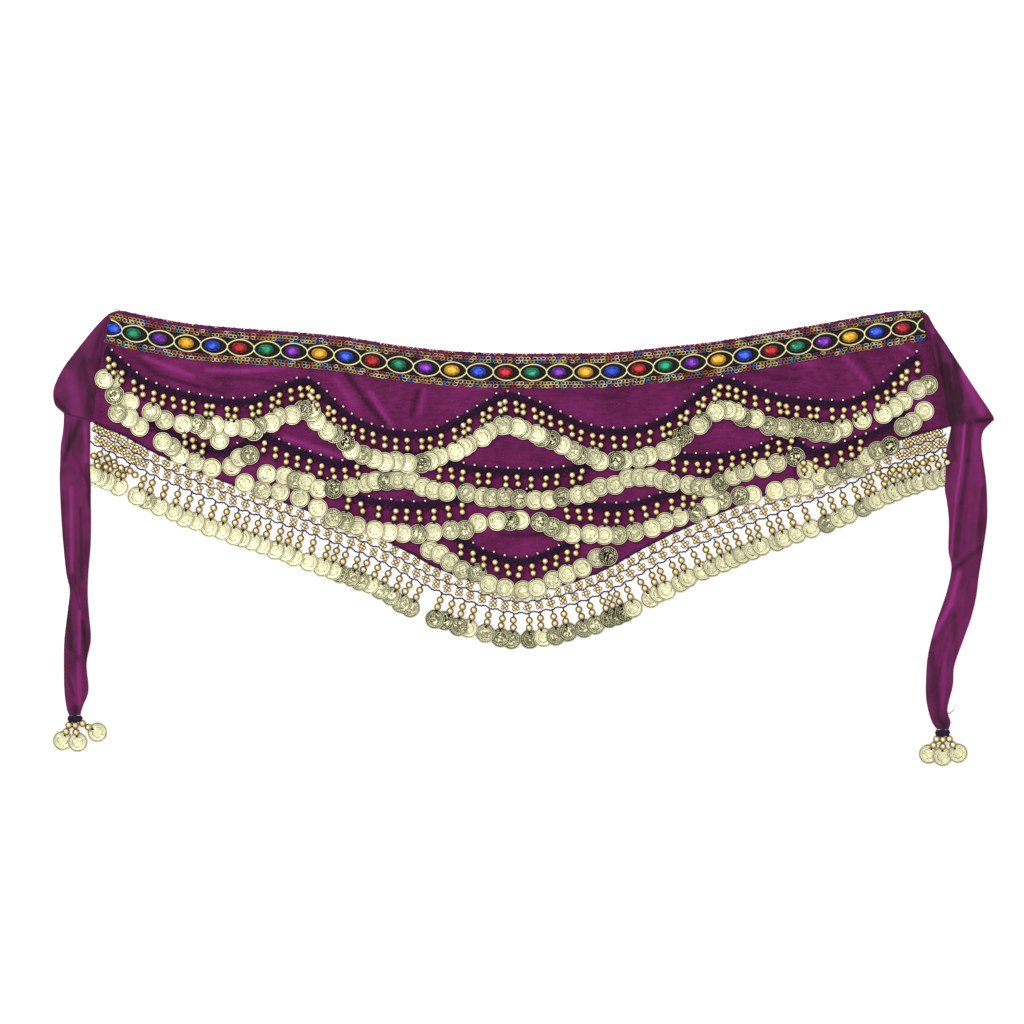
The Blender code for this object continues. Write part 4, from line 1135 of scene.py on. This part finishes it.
def waist_edge(ribbon_line, hem_line, finishes):
    """Loops of thread and small gold beads along the waist edge, and the dark stitches that hold the hem."""
    runs = []
    beads = []
    s = 8.0
    while s < ribbon_line.length - 30.0:
        edge = TOP_HEM_LEFT + (TOP_HEM_RIGHT - TOP_HEM_LEFT) * s / ribbon_line.length
        reach = CHANCE.uniform(1.5, 3.2)
        loop = [
            (*ribbon_line.at(s + across * reach, edge + up), VELVET + 0.2 + lift)
            for across, up, lift in ((-1.0, -1.6, 0.0), (-0.5, -0.4, 0.3), (0.0, 0.3, 0.0), (0.5, -0.5, 0.3),
                                     (1.0, -1.7, 0.0))
        ]
        runs.append((loop, False, CHANCE.choice((0, 1, 1, 2, 3))))
        s += CHANCE.uniform(4.0, 9.0)
    s = 34.0
    while s < ribbon_line.length - 34.0:
        edge = TOP_HEM_LEFT + (TOP_HEM_RIGHT - TOP_HEM_LEFT) * s / ribbon_line.length
        beads.append((*ribbon_line.at(s, edge - 0.9), VELVET + 0.9))
        s += CHANCE.uniform(18.0, 25.0)
    stitches = chain_stitches(hem_line, 0.7, 3.0, hem_line.length - 3.0, lambda x, y: 1.3, 2.4, 1.7, 0.8, 0.2)
    thread_piece("waist_loops", runs, 0.26, [
        finishes["braid_pale_gold"], finishes["crochet"], finishes["braid_plum"], finishes["braid_gold"]])
    bead_piece("waist_beads", beads, 1.0, finishes["bead"], sides=8)
    thread_piece("hem_stitches", stitches, 0.42, [finishes["crochet"]])


def coin_mesh():
    """One coin: a disc with a raised rim on both faces, its pattern laid flat over it."""
    bm = bmesh.new()
    bmesh.ops.create_circle(bm, cap_ends=True, segments=COIN_SIDES, radius=COIN_RADIUS)
    back = bm.faces[:]
    front = [
        item for item in bmesh.ops.extrude_face_region(bm, geom=back)["geom"]
        if isinstance(item, bmesh.types.BMFace)]
    bmesh.ops.translate(bm, vec=(0, 0, COIN_THICK), verts=front[0].verts)
    for face in (front[0], back[0]):
        bmesh.ops.inset_region(bm, faces=[face], thickness=COIN_RIM, depth=0.0)
        bmesh.ops.inset_region(bm, faces=[face], thickness=0.25, depth=-COIN_SUNK)
    bmesh.ops.recalc_face_normals(bm, faces=bm.faces)
    bmesh.ops.translate(bm, vec=(0, 0, -COIN_THICK / 2), verts=bm.verts)
    uv = bm.loops.layers.uv.new("UVMap")
    for face in bm.faces:
        for loop in face.loops:
            x, y, _ = loop.vert.co
            loop[uv].uv = (0.5 + 0.5 * x / COIN_RADIUS, 0.5 + 0.5 * y / COIN_RADIUS)
    mesh = bpy.data.meshes.new("coin")
    bm.to_mesh(mesh)
    bm.free()
    return mesh


COIN_SIDES = 22
COIN_RIM = 0.75
COIN_SUNK = 0.12


class Pile:
    """Coins laid one by one, each at the lean that lets it lie lowest on all that is under it."""

    def __init__(self, ground):
        self.ground = ground
        self.laid = []

    def lay(self, x, y, rough):
        """Centre height and slopes of a coin that comes to rest here, set a little off true."""
        near = [coin for coin in self.laid if math.hypot(coin[0] - x, coin[1] - y) < 2 * COIN_RADIUS]
        limits = []
        for dx, dy in PROBES:
            below = self.ground(x + dx, y + dy) + COIN_THICK / 2
            for other in near:
                if math.hypot(x + dx - other[0], y + dy - other[1]) < COIN_RADIUS:
                    below = max(below, coin_height(other, x + dx, y + dy) + COIN_THICK + COIN_AIR)
            limits.append((dx, dy, below))
        for other in near:
            for dx, dy in PROBES[:RIM_PROBES]:
                px, py = other[0] + dx, other[1] + dy
                if math.hypot(px - x, py - y) < COIN_RADIUS:
                    limits.append((px - x, py - y, coin_height(other, px, py) + COIN_THICK + COIN_AIR))
        rests = []
        for slope_x in SLOPES:
            for slope_y in SLOPES[2:-2]:
                height = max(low - slope_x * dx - slope_y * dy for dx, dy, low in limits)
                rests.append((height + abs(slope_x) + 2 * abs(slope_y), slope_x, slope_y))
        _, slope_x, slope_y = min(rests)
        slope_x += CHANCE.uniform(-rough, rough)
        slope_y += CHANCE.uniform(-rough, rough)
        height = max(low - slope_x * dx - slope_y * dy for dx, dy, low in limits)
        self.laid.append((x, y, height, slope_x, slope_y))
        return height, slope_x, slope_y


def coin_height(coin, x, y):
    return coin[2] + coin[3] * (x - coin[0]) + coin[4] * (y - coin[1])


COIN_AIR = 0.06
SLOPES = (-0.2, -0.16, -0.12, -0.08, -0.04, 0.0, 0.04, 0.08, 0.12, 0.16, 0.2)
RIM_PROBES = 20
PROBES = [
    (COIN_RADIUS * math.cos(turn), COIN_RADIUS * math.sin(turn))
    for turn in (2 * math.pi * k / RIM_PROBES for k in range(RIM_PROBES))
] + [(4.0, 0.0), (-4.0, 0.0), (0.0, 4.0), (0.0, -4.0), (0.0, 0.0)]


def stamp_coin(bm, template, tarnish_layer, place, height, slope_x, slope_y, roll, tarnish):
    """Adds one coin to a piece, tilted by its slopes."""
    before = len(bm.verts)
    bm.from_mesh(template)
    bm.verts.ensure_lookup_table()
    fresh = bm.verts[before:]
    normal = Vector((-slope_x, -slope_y, 1.0)).normalized()
    tilt = Vector((0, 0, 1)).rotation_difference(normal).to_matrix().to_4x4()
    matrix = Matrix.Translation((*place, height)) @ tilt @ Matrix.Rotation(roll, 4, "Z")
    bmesh.ops.transform(bm, matrix=matrix, verts=fresh)
    for vert in fresh:
        vert[tarnish_layer] = tarnish


def coin_piece(name, coins, template, finish, stands_for):
    """A piece of coins. Each coin is its place, height, slopes, roll and tarnish."""
    bm = bmesh.new()
    layer = bm.verts.layers.float.new("tarnish")
    for coin in coins:
        stamp_coin(bm, template, layer, *coin)
    return add_piece(name, bm, [finish], stands_for)


def bead_piece(name, beads, radius, finish, stands_for=(), sides=12):
    """Round beads at their centres, joined in one mesh."""
    bm = bmesh.new()
    bmesh.ops.create_uvsphere(bm, u_segments=sides, v_segments=sides // 2 + 1, radius=radius)
    template = bpy.data.meshes.new("bead")
    bm.to_mesh(template)
    bm.clear()
    for centre in beads:
        before = len(bm.verts)
        bm.from_mesh(template)
        bm.verts.ensure_lookup_table()
        bmesh.ops.translate(bm, vec=centre, verts=bm.verts[before:])
    bpy.data.meshes.remove(template)
    return add_piece(name, bm, [finish], stands_for)


def chain_stitches(route, offset, start, end, ground, pitch, length, width, jitter):
    """Small overlapping loops along a route, as crochet lies."""
    runs = []
    s = start
    while s < end:
        centre, along = route.at(s, offset + CHANCE.uniform(-jitter, jitter)), route.along(s)
        across = Vector((-along.y, along.x))
        lean = CHANCE.uniform(-0.35, 0.35)
        height = ground(*centre)
        loop = []
        for turn in spread(0.0, 2 * math.pi, 9)[:-1]:
            reach = along * length * math.cos(turn) + across * width * math.sin(turn + lean)
            loop.append((*(centre + reach), height + 0.35 * math.cos(turn)))
        runs.append((loop, True, 0))
        s += pitch
    return runs


def spot(x, y):
    """A place counted on the grid, in millimetres."""
    return Vector(((x - GRID_MIDDLE[0]) * GRID_STEP, (GRID_MIDDLE[1] - y) * GRID_STEP))


def wave_rows(finishes, template):
    """The four crochet waves. Strands hang straight down, and coins higher up lie over what is below them."""
    routes = [Route(points) for points in COIN_ROWS]
    bands = kdtree.KDTree(sum(len(spread_by(route.length, 2.0)) for route in routes))
    index = 0
    for route in routes:
        for s in spread_by(route.length, 2.0):
            x, y = route.at(s, -BAND_WIDTH / 2)
            bands.insert((x, y, 0), index)
            index += 1
    bands.balance()

    def ground(x, y):
        found = bands.find((x, y, 0))[2]
        return velvet_top(x, y) + CLOTH_LIFT + (1.9 if found < BAND_WIDTH / 2 else 0.0)

    rows = []
    for number, route in enumerate(routes):
        pairs = [(spot(x, y), spot(x + CHANCE.uniform(-2, 2), y + 7)) for x, y in PAIRS[number]]
        coins = [spot(x, y) for x, y in COINS[number]]
        if not pairs:
            pairs, more = hanging_strands(route, coins)
            coins += more
        rows.append((pairs, coins))

    pile = Pile(ground)
    for number in reversed(range(len(routes))):
        above = sum((coins for _, coins in rows[:number]), [])
        lay_row(number, routes[number], *rows[number], above, pile, finishes, template)


def hanging_strands(route, known):
    """Bead pairs all along a wave, and coins under them where none is known yet."""
    pairs, coins = [], []
    count = int((route.length - 8.0) // STRAND_PITCH)
    for s in spread(6.0, route.length - 6.0, count):
        s += CHANCE.uniform(-2.2, 2.2)
        root = route.at(s, -BAND_WIDTH + 0.6)
        sway = CHANCE.uniform(-3.0, 3.0)
        pairs.append((
            root + Vector((0.2 * sway, -2.0 + CHANCE.uniform(-0.6, 0.4))),
            root + Vector((0.6 * sway, -8.2 + CHANCE.uniform(-0.7, 0.5)))))
        coin = root + Vector((sway, -21.2 + CHANCE.uniform(-1.6, 1.6)))
        if known[0].x + 3 * COIN_RADIUS < coin.x and all(abs(coin.x - other.x) > 6.0 for other in known):
            coins.append(coin)
    return pairs, coins


def spread_by(length, pitch):
    return spread(0.0, length, int(length / pitch) + 1)


def covered(place, coins, reach):
    return any((place - coin).length < reach for coin in coins)


def lay_row(number, route, pairs, coins, above, pile, finishes, template):
    """One wave: its crochet band, seed beads, bead pairs, threads and coins."""
    name = f"wave_{number + 1}"

    def band(x, y):
        return velvet_top(x, y) + CLOTH_LIFT + 0.8

    stitches = []
    for row, away in enumerate((-1.3, -3.2)):
        stitches += chain_stitches(route, away, 1.5 + row * 0.8, route.length - 1.0, band, 3.0, 1.9, 1.2, 0.35)
    for s in spread_by(route.length - 5.0, SCALLOP):
        lean = CHANCE.uniform(-0.6, 0.6)
        legs = []
        for along_s, away in ((0.0, -1.0), (SCALLOP / 2, 1.2), (SCALLOP, -1.0)):
            x, y = route.at(min(max(s + along_s, 0.0), route.length), away)
            legs.append((x, y, band(x, y)))
        stitches.append((legs, False, 0))
        for shift, depth in ((0.0, -8.6), (SCALLOP / 2, -7.4)):
            low_legs = []
            for along_s, away in ((0.2, -3.2), (SCALLOP / 2 + lean, depth), (SCALLOP - 0.2, -3.2)):
                x, y = route.at(min(max(s + shift + along_s, 0.0), route.length), away)
                low_legs.append((x, y, band(x, y) + 0.1))
            stitches.append((low_legs, False, 0))
    threads, beads, small = [], [], []
    for upper, lower in pairs:
        if covered(upper, above, COIN_RADIUS) or covered(lower, above, COIN_RADIUS):
            continue
        base = velvet_top(*upper) + CLOTH_LIFT + BEAD_RADIUS
        end = lower + (lower - upper).normalized() * (BEAD_RADIUS + 0.9)
        beads += [(*upper, base + CHANCE.uniform(0.0, 0.3)), (*lower, base + CHANCE.uniform(0.0, 0.3))]
        small.append((*end, base - 0.6))
        root = upper + Vector((0.0, BEAD_RADIUS + 1.6))
        threads.append(([(*root, base - 1.2), (*upper, base), (*lower, base), (*end, base - 0.6)], False, 0))
    laid = []
    for place in sorted(coins, key=lambda c: c.x if number % 2 else -c.x):
        rough = 0.02 if CHANCE.random() < 0.6 else 0.08
        height, slope_x, slope_y = pile.lay(place.x, place.y, rough)
        tarnish = CHANCE.uniform(0.5, 1.0) if CHANCE.random() < DULL_SHARE else CHANCE.uniform(0.0, 0.35)
        laid.append((place, height, slope_x, slope_y, CHANCE.uniform(-0.5, 0.5), tarnish))
    seeds = []
    for s in spread_by(route.length - 5.0, SCALLOP):
        place = route.at(s + SCALLOP / 2, 0.9 + CHANCE.uniform(-0.4, 0.4))
        if not covered(place, above, COIN_RADIUS + SEED_RADIUS):
            seeds.append((*place, velvet_top(*place) + CLOTH_LIFT + SEED_RADIUS))
    thread_piece(name + "_crochet", stitches, 0.5, [finishes["crochet"]])
    thread_piece(name + "_threads", threads, 0.45, [finishes["crochet"]])
    bead_piece(name + "_seeds", seeds, SEED_RADIUS, finishes["seed"], sides=8)
    bead_piece(name + "_ends", small, 1.35, finishes["crochet"], sides=8)
    bead_piece(name + "_beads", beads, BEAD_RADIUS, finishes["bead"])
    coin_piece(name + "_coins", laid, template, finishes["coin"], ROW_NODES[number])


SCALLOP = 9.5
# Share of the coins of a wave that are dull
DULL_SHARE = 0.4


def net_and_fringe(chain, coins_above, finishes, template):
    """The bead net between its chains, and the coin fringe on the lowest one."""
    chains = []
    for away in (0.0, UPPER_CHAIN):
        thread = []
        for number, s in enumerate(spread_by(chain.length - 2.0, 1.3)):
            dip = 0.75 * math.sin(2 * math.pi * s / NET_PITCH) + 0.3 * (-1) ** number
            thread.append((*chain.at(s + 1.0, away + dip), 0.95))
        chains.append((thread, False, 0))
    clusters = []
    links = []
    for row, away in enumerate(NET_ROWS):
        s = 3.0 + row * NET_PITCH / 2
        while s < chain.length - 3.0:
            crowded = s < CROWDED or s > chain.length - CROWDED
            centre = chain.at(s, away + CHANCE.uniform(-0.4, 0.4))
            s += NET_PITCH * (CROWDED_PITCH if crowded else 1.0) + CHANCE.uniform(-0.7, 0.7)
            turned = CHANCE.uniform(0.2, 1.2)
            for quarter in (0.0, math.pi / 2, math.pi, 3 * math.pi / 2):
                out = Vector((math.cos(turned + quarter), math.sin(turned + quarter)))
                clusters.append((*(centre + CLUSTER_REACH * out), NET_BEAD + 0.1))
            clusters.append((*centre, NET_BEAD + 1.1))
            for side in (-1.6, 1.6):
                for step in (-4.3, 4.3):
                    links.append(([(*centre, 1.0), (*(centre + Vector((side, step))), 0.8)], False, 0))
    clusters = [bead for bead in clusters if not covered(Vector(bead[:2]), coins_above, COIN_RADIUS + 0.8)]
    bead_piece("net_clusters", clusters, NET_BEAD, finishes["net_bead"], NET_NODES, sides=8)
    thread_piece("net_links", links, 0.24, [finishes["braid_pale_gold"]])

    pile = Pile(table_top)
    coins, beads, knots = [], [], []
    left_arm = [x for x in FRINGE_STRANDS if x < GRID_MIDDLE[0]]
    right_arm = [x for x in FRINGE_STRANDS if x >= GRID_MIDDLE[0]]
    for x in left_arm[::-1] + right_arm:
        s = chain_place(chain, spot(x, 0).x)
        root = chain.at(s, -0.6)
        hang = Vector((0.0, -1.0)).lerp(-chain.up(s), FRINGE_LEAN + CHANCE.uniform(-0.2, 0.2)).normalized()
        side = Vector((-hang.y, hang.x))
        bead_1 = root + hang * (FIRST_BEAD + CHANCE.uniform(-0.4, 0.4)) + side * CHANCE.uniform(-0.4, 0.4)
        bead_2 = bead_1 + hang * (NEXT_BEAD + CHANCE.uniform(-0.1, 0.7)) + side * CHANCE.uniform(-0.7, 0.7)
        place = root + hang * (COIN_DROP + CHANCE.uniform(-0.9, 0.9)) + side * CHANCE.uniform(-1.2, 1.2)
        rough = 0.015 if CHANCE.random() < 0.75 else 0.06
        height, slope_x, slope_y = pile.lay(place.x, place.y, rough)
        dark = 0.85 if FRINGE_DARK[0] < place.x < FRINGE_DARK[1] else 0.06
        tarnish = CHANCE.uniform(0.6, 1.0) if CHANCE.random() < dark else CHANCE.uniform(0.0, 0.2)
        coins.append((place, height, slope_x, slope_y, CHANCE.uniform(-0.5, 0.5), tarnish))
        beads += [(*bead_1, BEAD_RADIUS + 0.1), (*bead_2, BEAD_RADIUS + 0.1)]
        knot = bead_2 + hang * (BEAD_RADIUS + 0.7)
        knots.append((*knot, 2.2))
        tail = knot + hang * 1.6
        strand = [(*root, 1.0), (*bead_1, 2.8), (*bead_2, 2.8), (*knot, 2.2), (*tail, 1.9)]
        chains.append((strand, False, 0))
    beads += [(*spot(x, y), 2.1 * BEAD_RADIUS) for x, y in BUNCHED_BEADS]
    coin_piece("fringe_coins", coins, template, finishes["coin"], FRINGE_NODES)
    bead_piece("fringe_beads", beads, BEAD_RADIUS, finishes["bead"])
    bead_piece("fringe_knots", knots, 1.1, finishes["crochet"], sides=8)
    thread_piece("net_threads", chains, 0.6, [finishes["crochet"]])


def chain_place(chain, x):
    """Length along the chain at which it passes x."""
    low, high = 1.0, chain.length - 1.0
    while high - low > 0.1:
        middle = (low + high) / 2
        if chain.at(middle).x < x:
            low = middle
        else:
            high = middle
    return low


NET_BEAD = 1.85
CLUSTER_REACH = 2.35
# Between these the fringe's coins are mostly dark
FRINGE_DARK = (-160, 96)
# Beads that lie on the others where the fringe is bunched at its ends, on the grid
BUNCHED_BEADS = (
    (95, 456), (109, 459), (99, 466), (107, 467), (116, 466), (122, 468), (119, 474), (131, 471),
    (136, 475), (868, 477), (877, 473), (885, 479), (892, 470), (899, 476), (905, 466), (912, 471),
    (922, 463), (931, 459),
)
# Over this length at each end the net is drawn together
CROWDED = 46.0
CROWDED_PITCH = 0.62
FRINGE_LEAN = 0.85
# Down a strand of the fringe
FIRST_BEAD = 5.4
NEXT_BEAD = 5.9
COIN_DROP = 21.8


def tie_end(side, left, right, y, directions, finishes, template):
    """The crochet that gathers a tie's tip, and its three drops of two beads and a coin."""
    name = "tie_tip_" + side
    middle = (left + right) / 2
    wraps = []
    for row in range(5):
        reach = (right - left) / 2 - 0.6 * abs(row - 1.5)
        loop = []
        for turn in spread(0.0, 2 * math.pi, 25)[:-1]:
            loop.append((
                middle + reach * math.cos(turn), y + 2.0 - row * 1.05 + 0.35 * math.sin(3 * turn + row),
                1.95 + 1.45 * math.sin(turn)))
        wraps.append((loop, True, 0))
    pile = Pile(table_top)
    coins, beads, knots = [], [], []
    for k, direction in enumerate(directions):
        hang = Vector(direction).normalized()
        root = Vector((left + (right - left) * (0.2 + 0.3 * k), y - 2.0))
        bead_1, bead_2 = root + hang * TIE_BEADS[0], root + hang * TIE_BEADS[1]
        place = root + hang * TIE_COIN
        height, slope_x, slope_y = pile.lay(place.x, place.y, 0.01)
        coins.append((place, height, slope_x, slope_y, CHANCE.uniform(-0.5, 0.5), 0.1))
        beads += [(*bead_1, BEAD_RADIUS + 0.1), (*bead_2, BEAD_RADIUS + 0.1)]
        knot = bead_2 + hang * (BEAD_RADIUS + 0.6)
        knots.append((*knot, 1.7))
        wraps.append(([(*root, 1.8), (*bead_1, 2.6), (*bead_2, 2.6), (*knot, 1.7)], False, 0))
    coin_piece(name + "_coins", coins, template, finishes["coin"], ["tie_end_" + side])
    bead_piece(name + "_beads", beads, BEAD_RADIUS, finishes["bead"])
    bead_piece(name + "_knots", knots, 1.0, finishes["crochet"], sides=8)
    thread_piece(name + "_crochet", wraps, 0.7, [finishes["crochet"]])
    if side == "right":
        thread_piece(name + "_stray", [(STRAY_THREAD, False, 0)], 0.35, [finishes["braid_blue"]])


# Down a drop of a tie
TIE_BEADS = (3.4, 9.2)
TIE_COIN = 17.8
# End of a thread that stands out from the right tie
STRAY_THREAD = ((358.5, -150.5, 2.0), (361.5, -150.8, 1.6), (364.0, -149.4, 1.0), (366.5, -147.2, 0.8))


def all_finishes():
    finishes = {
        "velvet": stretch_velvet(),
        "tie": chiffon(),
        "crochet": crochet_cotton(),
        "ribbon": black_ribbon(),
        "ring_cord": metal_thread("ring_cord_thread", "#FFF8BE"),
        # The third colour of each bead finish is the painted shade at its rim
        "bead": plated_bead("plated_bead", "#FFF4C4", "#F4CC78", "#6A4414", 0.08),
        "net_bead": plated_bead("plated_net_bead", "#FFF0C6", "#E4C484", "#86622A", 0.15),
        "seed": plated_bead("plated_seed_bead", "#FFF0E8", "#F2D6C4", "#A87A6A", 0.2),
        "coin": stamped_coin(),
    }
    for kind, code in BRAID_THREADS.items():
        finishes["braid_" + kind] = metal_thread("braid_thread_" + kind, code)
    for kind, (edge, heart) in GEM_COLOURS.items():
        finishes["stone_" + kind] = foil_backed_stone("stone_" + kind, edge, heart)
    return finishes


def table_and_light():
    """A pale table, soft light from above that fades to the sides, and one soft lamp at the upper left."""
    bm = bmesh.new()
    bmesh.ops.create_grid(bm, x_segments=1, y_segments=1, size=3.0)
    mesh = bpy.data.meshes.new("table")
    bm.to_mesh(mesh)
    bm.free()
    paint, tree, shader = new_finish("pale_table")
    shader.inputs["Base Color"].default_value = linear("#F4F4F5")
    shader.inputs["Roughness"].default_value = 0.9
    shader.inputs["Emission Color"].default_value = (1.0, 1.0, 1.0, 1.0)
    shader.inputs["Emission Strength"].default_value = TABLE_GLOW
    mesh.materials.append(paint)
    table = bpy.data.objects.new("table", mesh)
    bpy.context.scene.collection.objects.link(table)

    world = bpy.data.worlds.new("studio")
    world.use_nodes = True
    tree = world.node_tree
    view = add_node(tree, "ShaderNodeTexCoord").outputs["Generated"]
    height = add_node(tree, "ShaderNodeSeparateXYZ", {"Vector": view}).outputs["Z"]
    fade = add_node(tree, "ShaderNodeValToRGB", {"Fac": height})
    set_ramp(fade, SKY)
    boxes = add_node(tree, "ShaderNodeTexNoise", {"Vector": view, "Scale": 3.4, "Detail": 1.0})
    patches = add_node(
        tree, "ShaderNodeMapRange",
        {"Value": boxes.outputs["Fac"], 1: 0.35, 2: 0.65, 3: 0.55 * SKY_POWER, 4: 1.35 * SKY_POWER})
    strength = add_node(
        tree, "ShaderNodeMath", {0: fade.outputs["Color"], 1: patches.outputs[0]}, operation="MULTIPLY")
    tree.links.new(strength.outputs[0], tree.nodes["Background"].inputs["Strength"])
    tree.nodes["Background"].inputs["Color"].default_value = (1.0, 0.995, 0.98, 1.0)
    bpy.context.scene.world = world

    lamp = bpy.data.lights.new("soft_lamp", "AREA")
    lamp.size = 0.9
    lamp.energy = LAMP_POWER
    lamp_object = bpy.data.objects.new("soft_lamp", lamp)
    lamp_object.location = (-1.1, 1.0, 1.9)
    lamp_object.rotation_euler = (-lamp_object.location).to_track_quat("-Z", "Y").to_euler()
    bpy.context.scene.collection.objects.link(lamp_object)

    camera = bpy.data.cameras.new("camera")
    camera.sensor_width = 36.0
    camera.lens = camera.sensor_width * CAMERA_HEIGHT / VIEW_WIDTH
    camera_object = bpy.data.objects.new("camera", camera)
    camera_object.location = (VIEW_MIDDLE[0] * MM, VIEW_MIDDLE[1] * MM, CAMERA_HEIGHT * MM)
    bpy.context.scene.collection.objects.link(camera_object)
    bpy.context.scene.camera = camera_object
    bpy.context.scene.view_settings.view_transform = "Standard"


TABLE_GLOW = 0.35
LAMP_POWER = 14.0
SKY_POWER = 1.15
# Brightness of the sky from the horizon, at 0, to straight up, at 1
SKY = ((0.0, 0.15), (0.2, 0.35), (0.55, 0.7), (0.9, 1.0))
# The photo's frame on the table: its middle, its width and the camera's height
VIEW_MIDDLE = (-9.56, 20.4)
VIEW_WIDTH = 870.4
CAMERA_HEIGHT = 3000.0


def main():
    table_and_light()
    finishes = all_finishes()
    ribbon_line = Route(RIBBON_LINE)
    chain = Route(LOWER_CHAIN)
    inner = [chain.at(s, HEM_OFFSET) for s in spread(6.0, chain.length - 4.0, 30)]
    hem_line = Route([LEFT_HEM_CORNER] + inner + [RIGHT_HEM_CORNER], steps=6)
    velvet_panel(ribbon_line, hem_line, finishes["velvet"])
    for name, rows, stands_for in (
        ("tie_cloth_left", LEFT_TIE, "tie_left"), ("tie_cloth_right", RIGHT_TIE, "tie_right"),
    ):
        tie = folded_tie(name, rows, finishes["tie"], stands_for)
    ribbon_and_rings(ribbon_line, finishes)
    gem_stones(ribbon_line, finishes)
    loop_braid("braid_upper", ribbon_line, BRAID_OFFSET, finishes, "braid_upper")
    loop_braid("braid_lower", ribbon_line, -BRAID_OFFSET, finishes, "braid_lower")
    waist_edge(ribbon_line, hem_line, finishes)
    template = coin_mesh()
    wave_rows(finishes, template)
    net_line = Route((LEFT_CHAIN_END,) + LOWER_CHAIN + (RIGHT_CHAIN_END,))
    coins_above = [spot(x, y) for coins in COINS for x, y in coins]
    net_and_fringe(net_line, coins_above, finishes, template)
    for end in TIE_ENDS:
        tie_end(*end, finishes, template)


main()
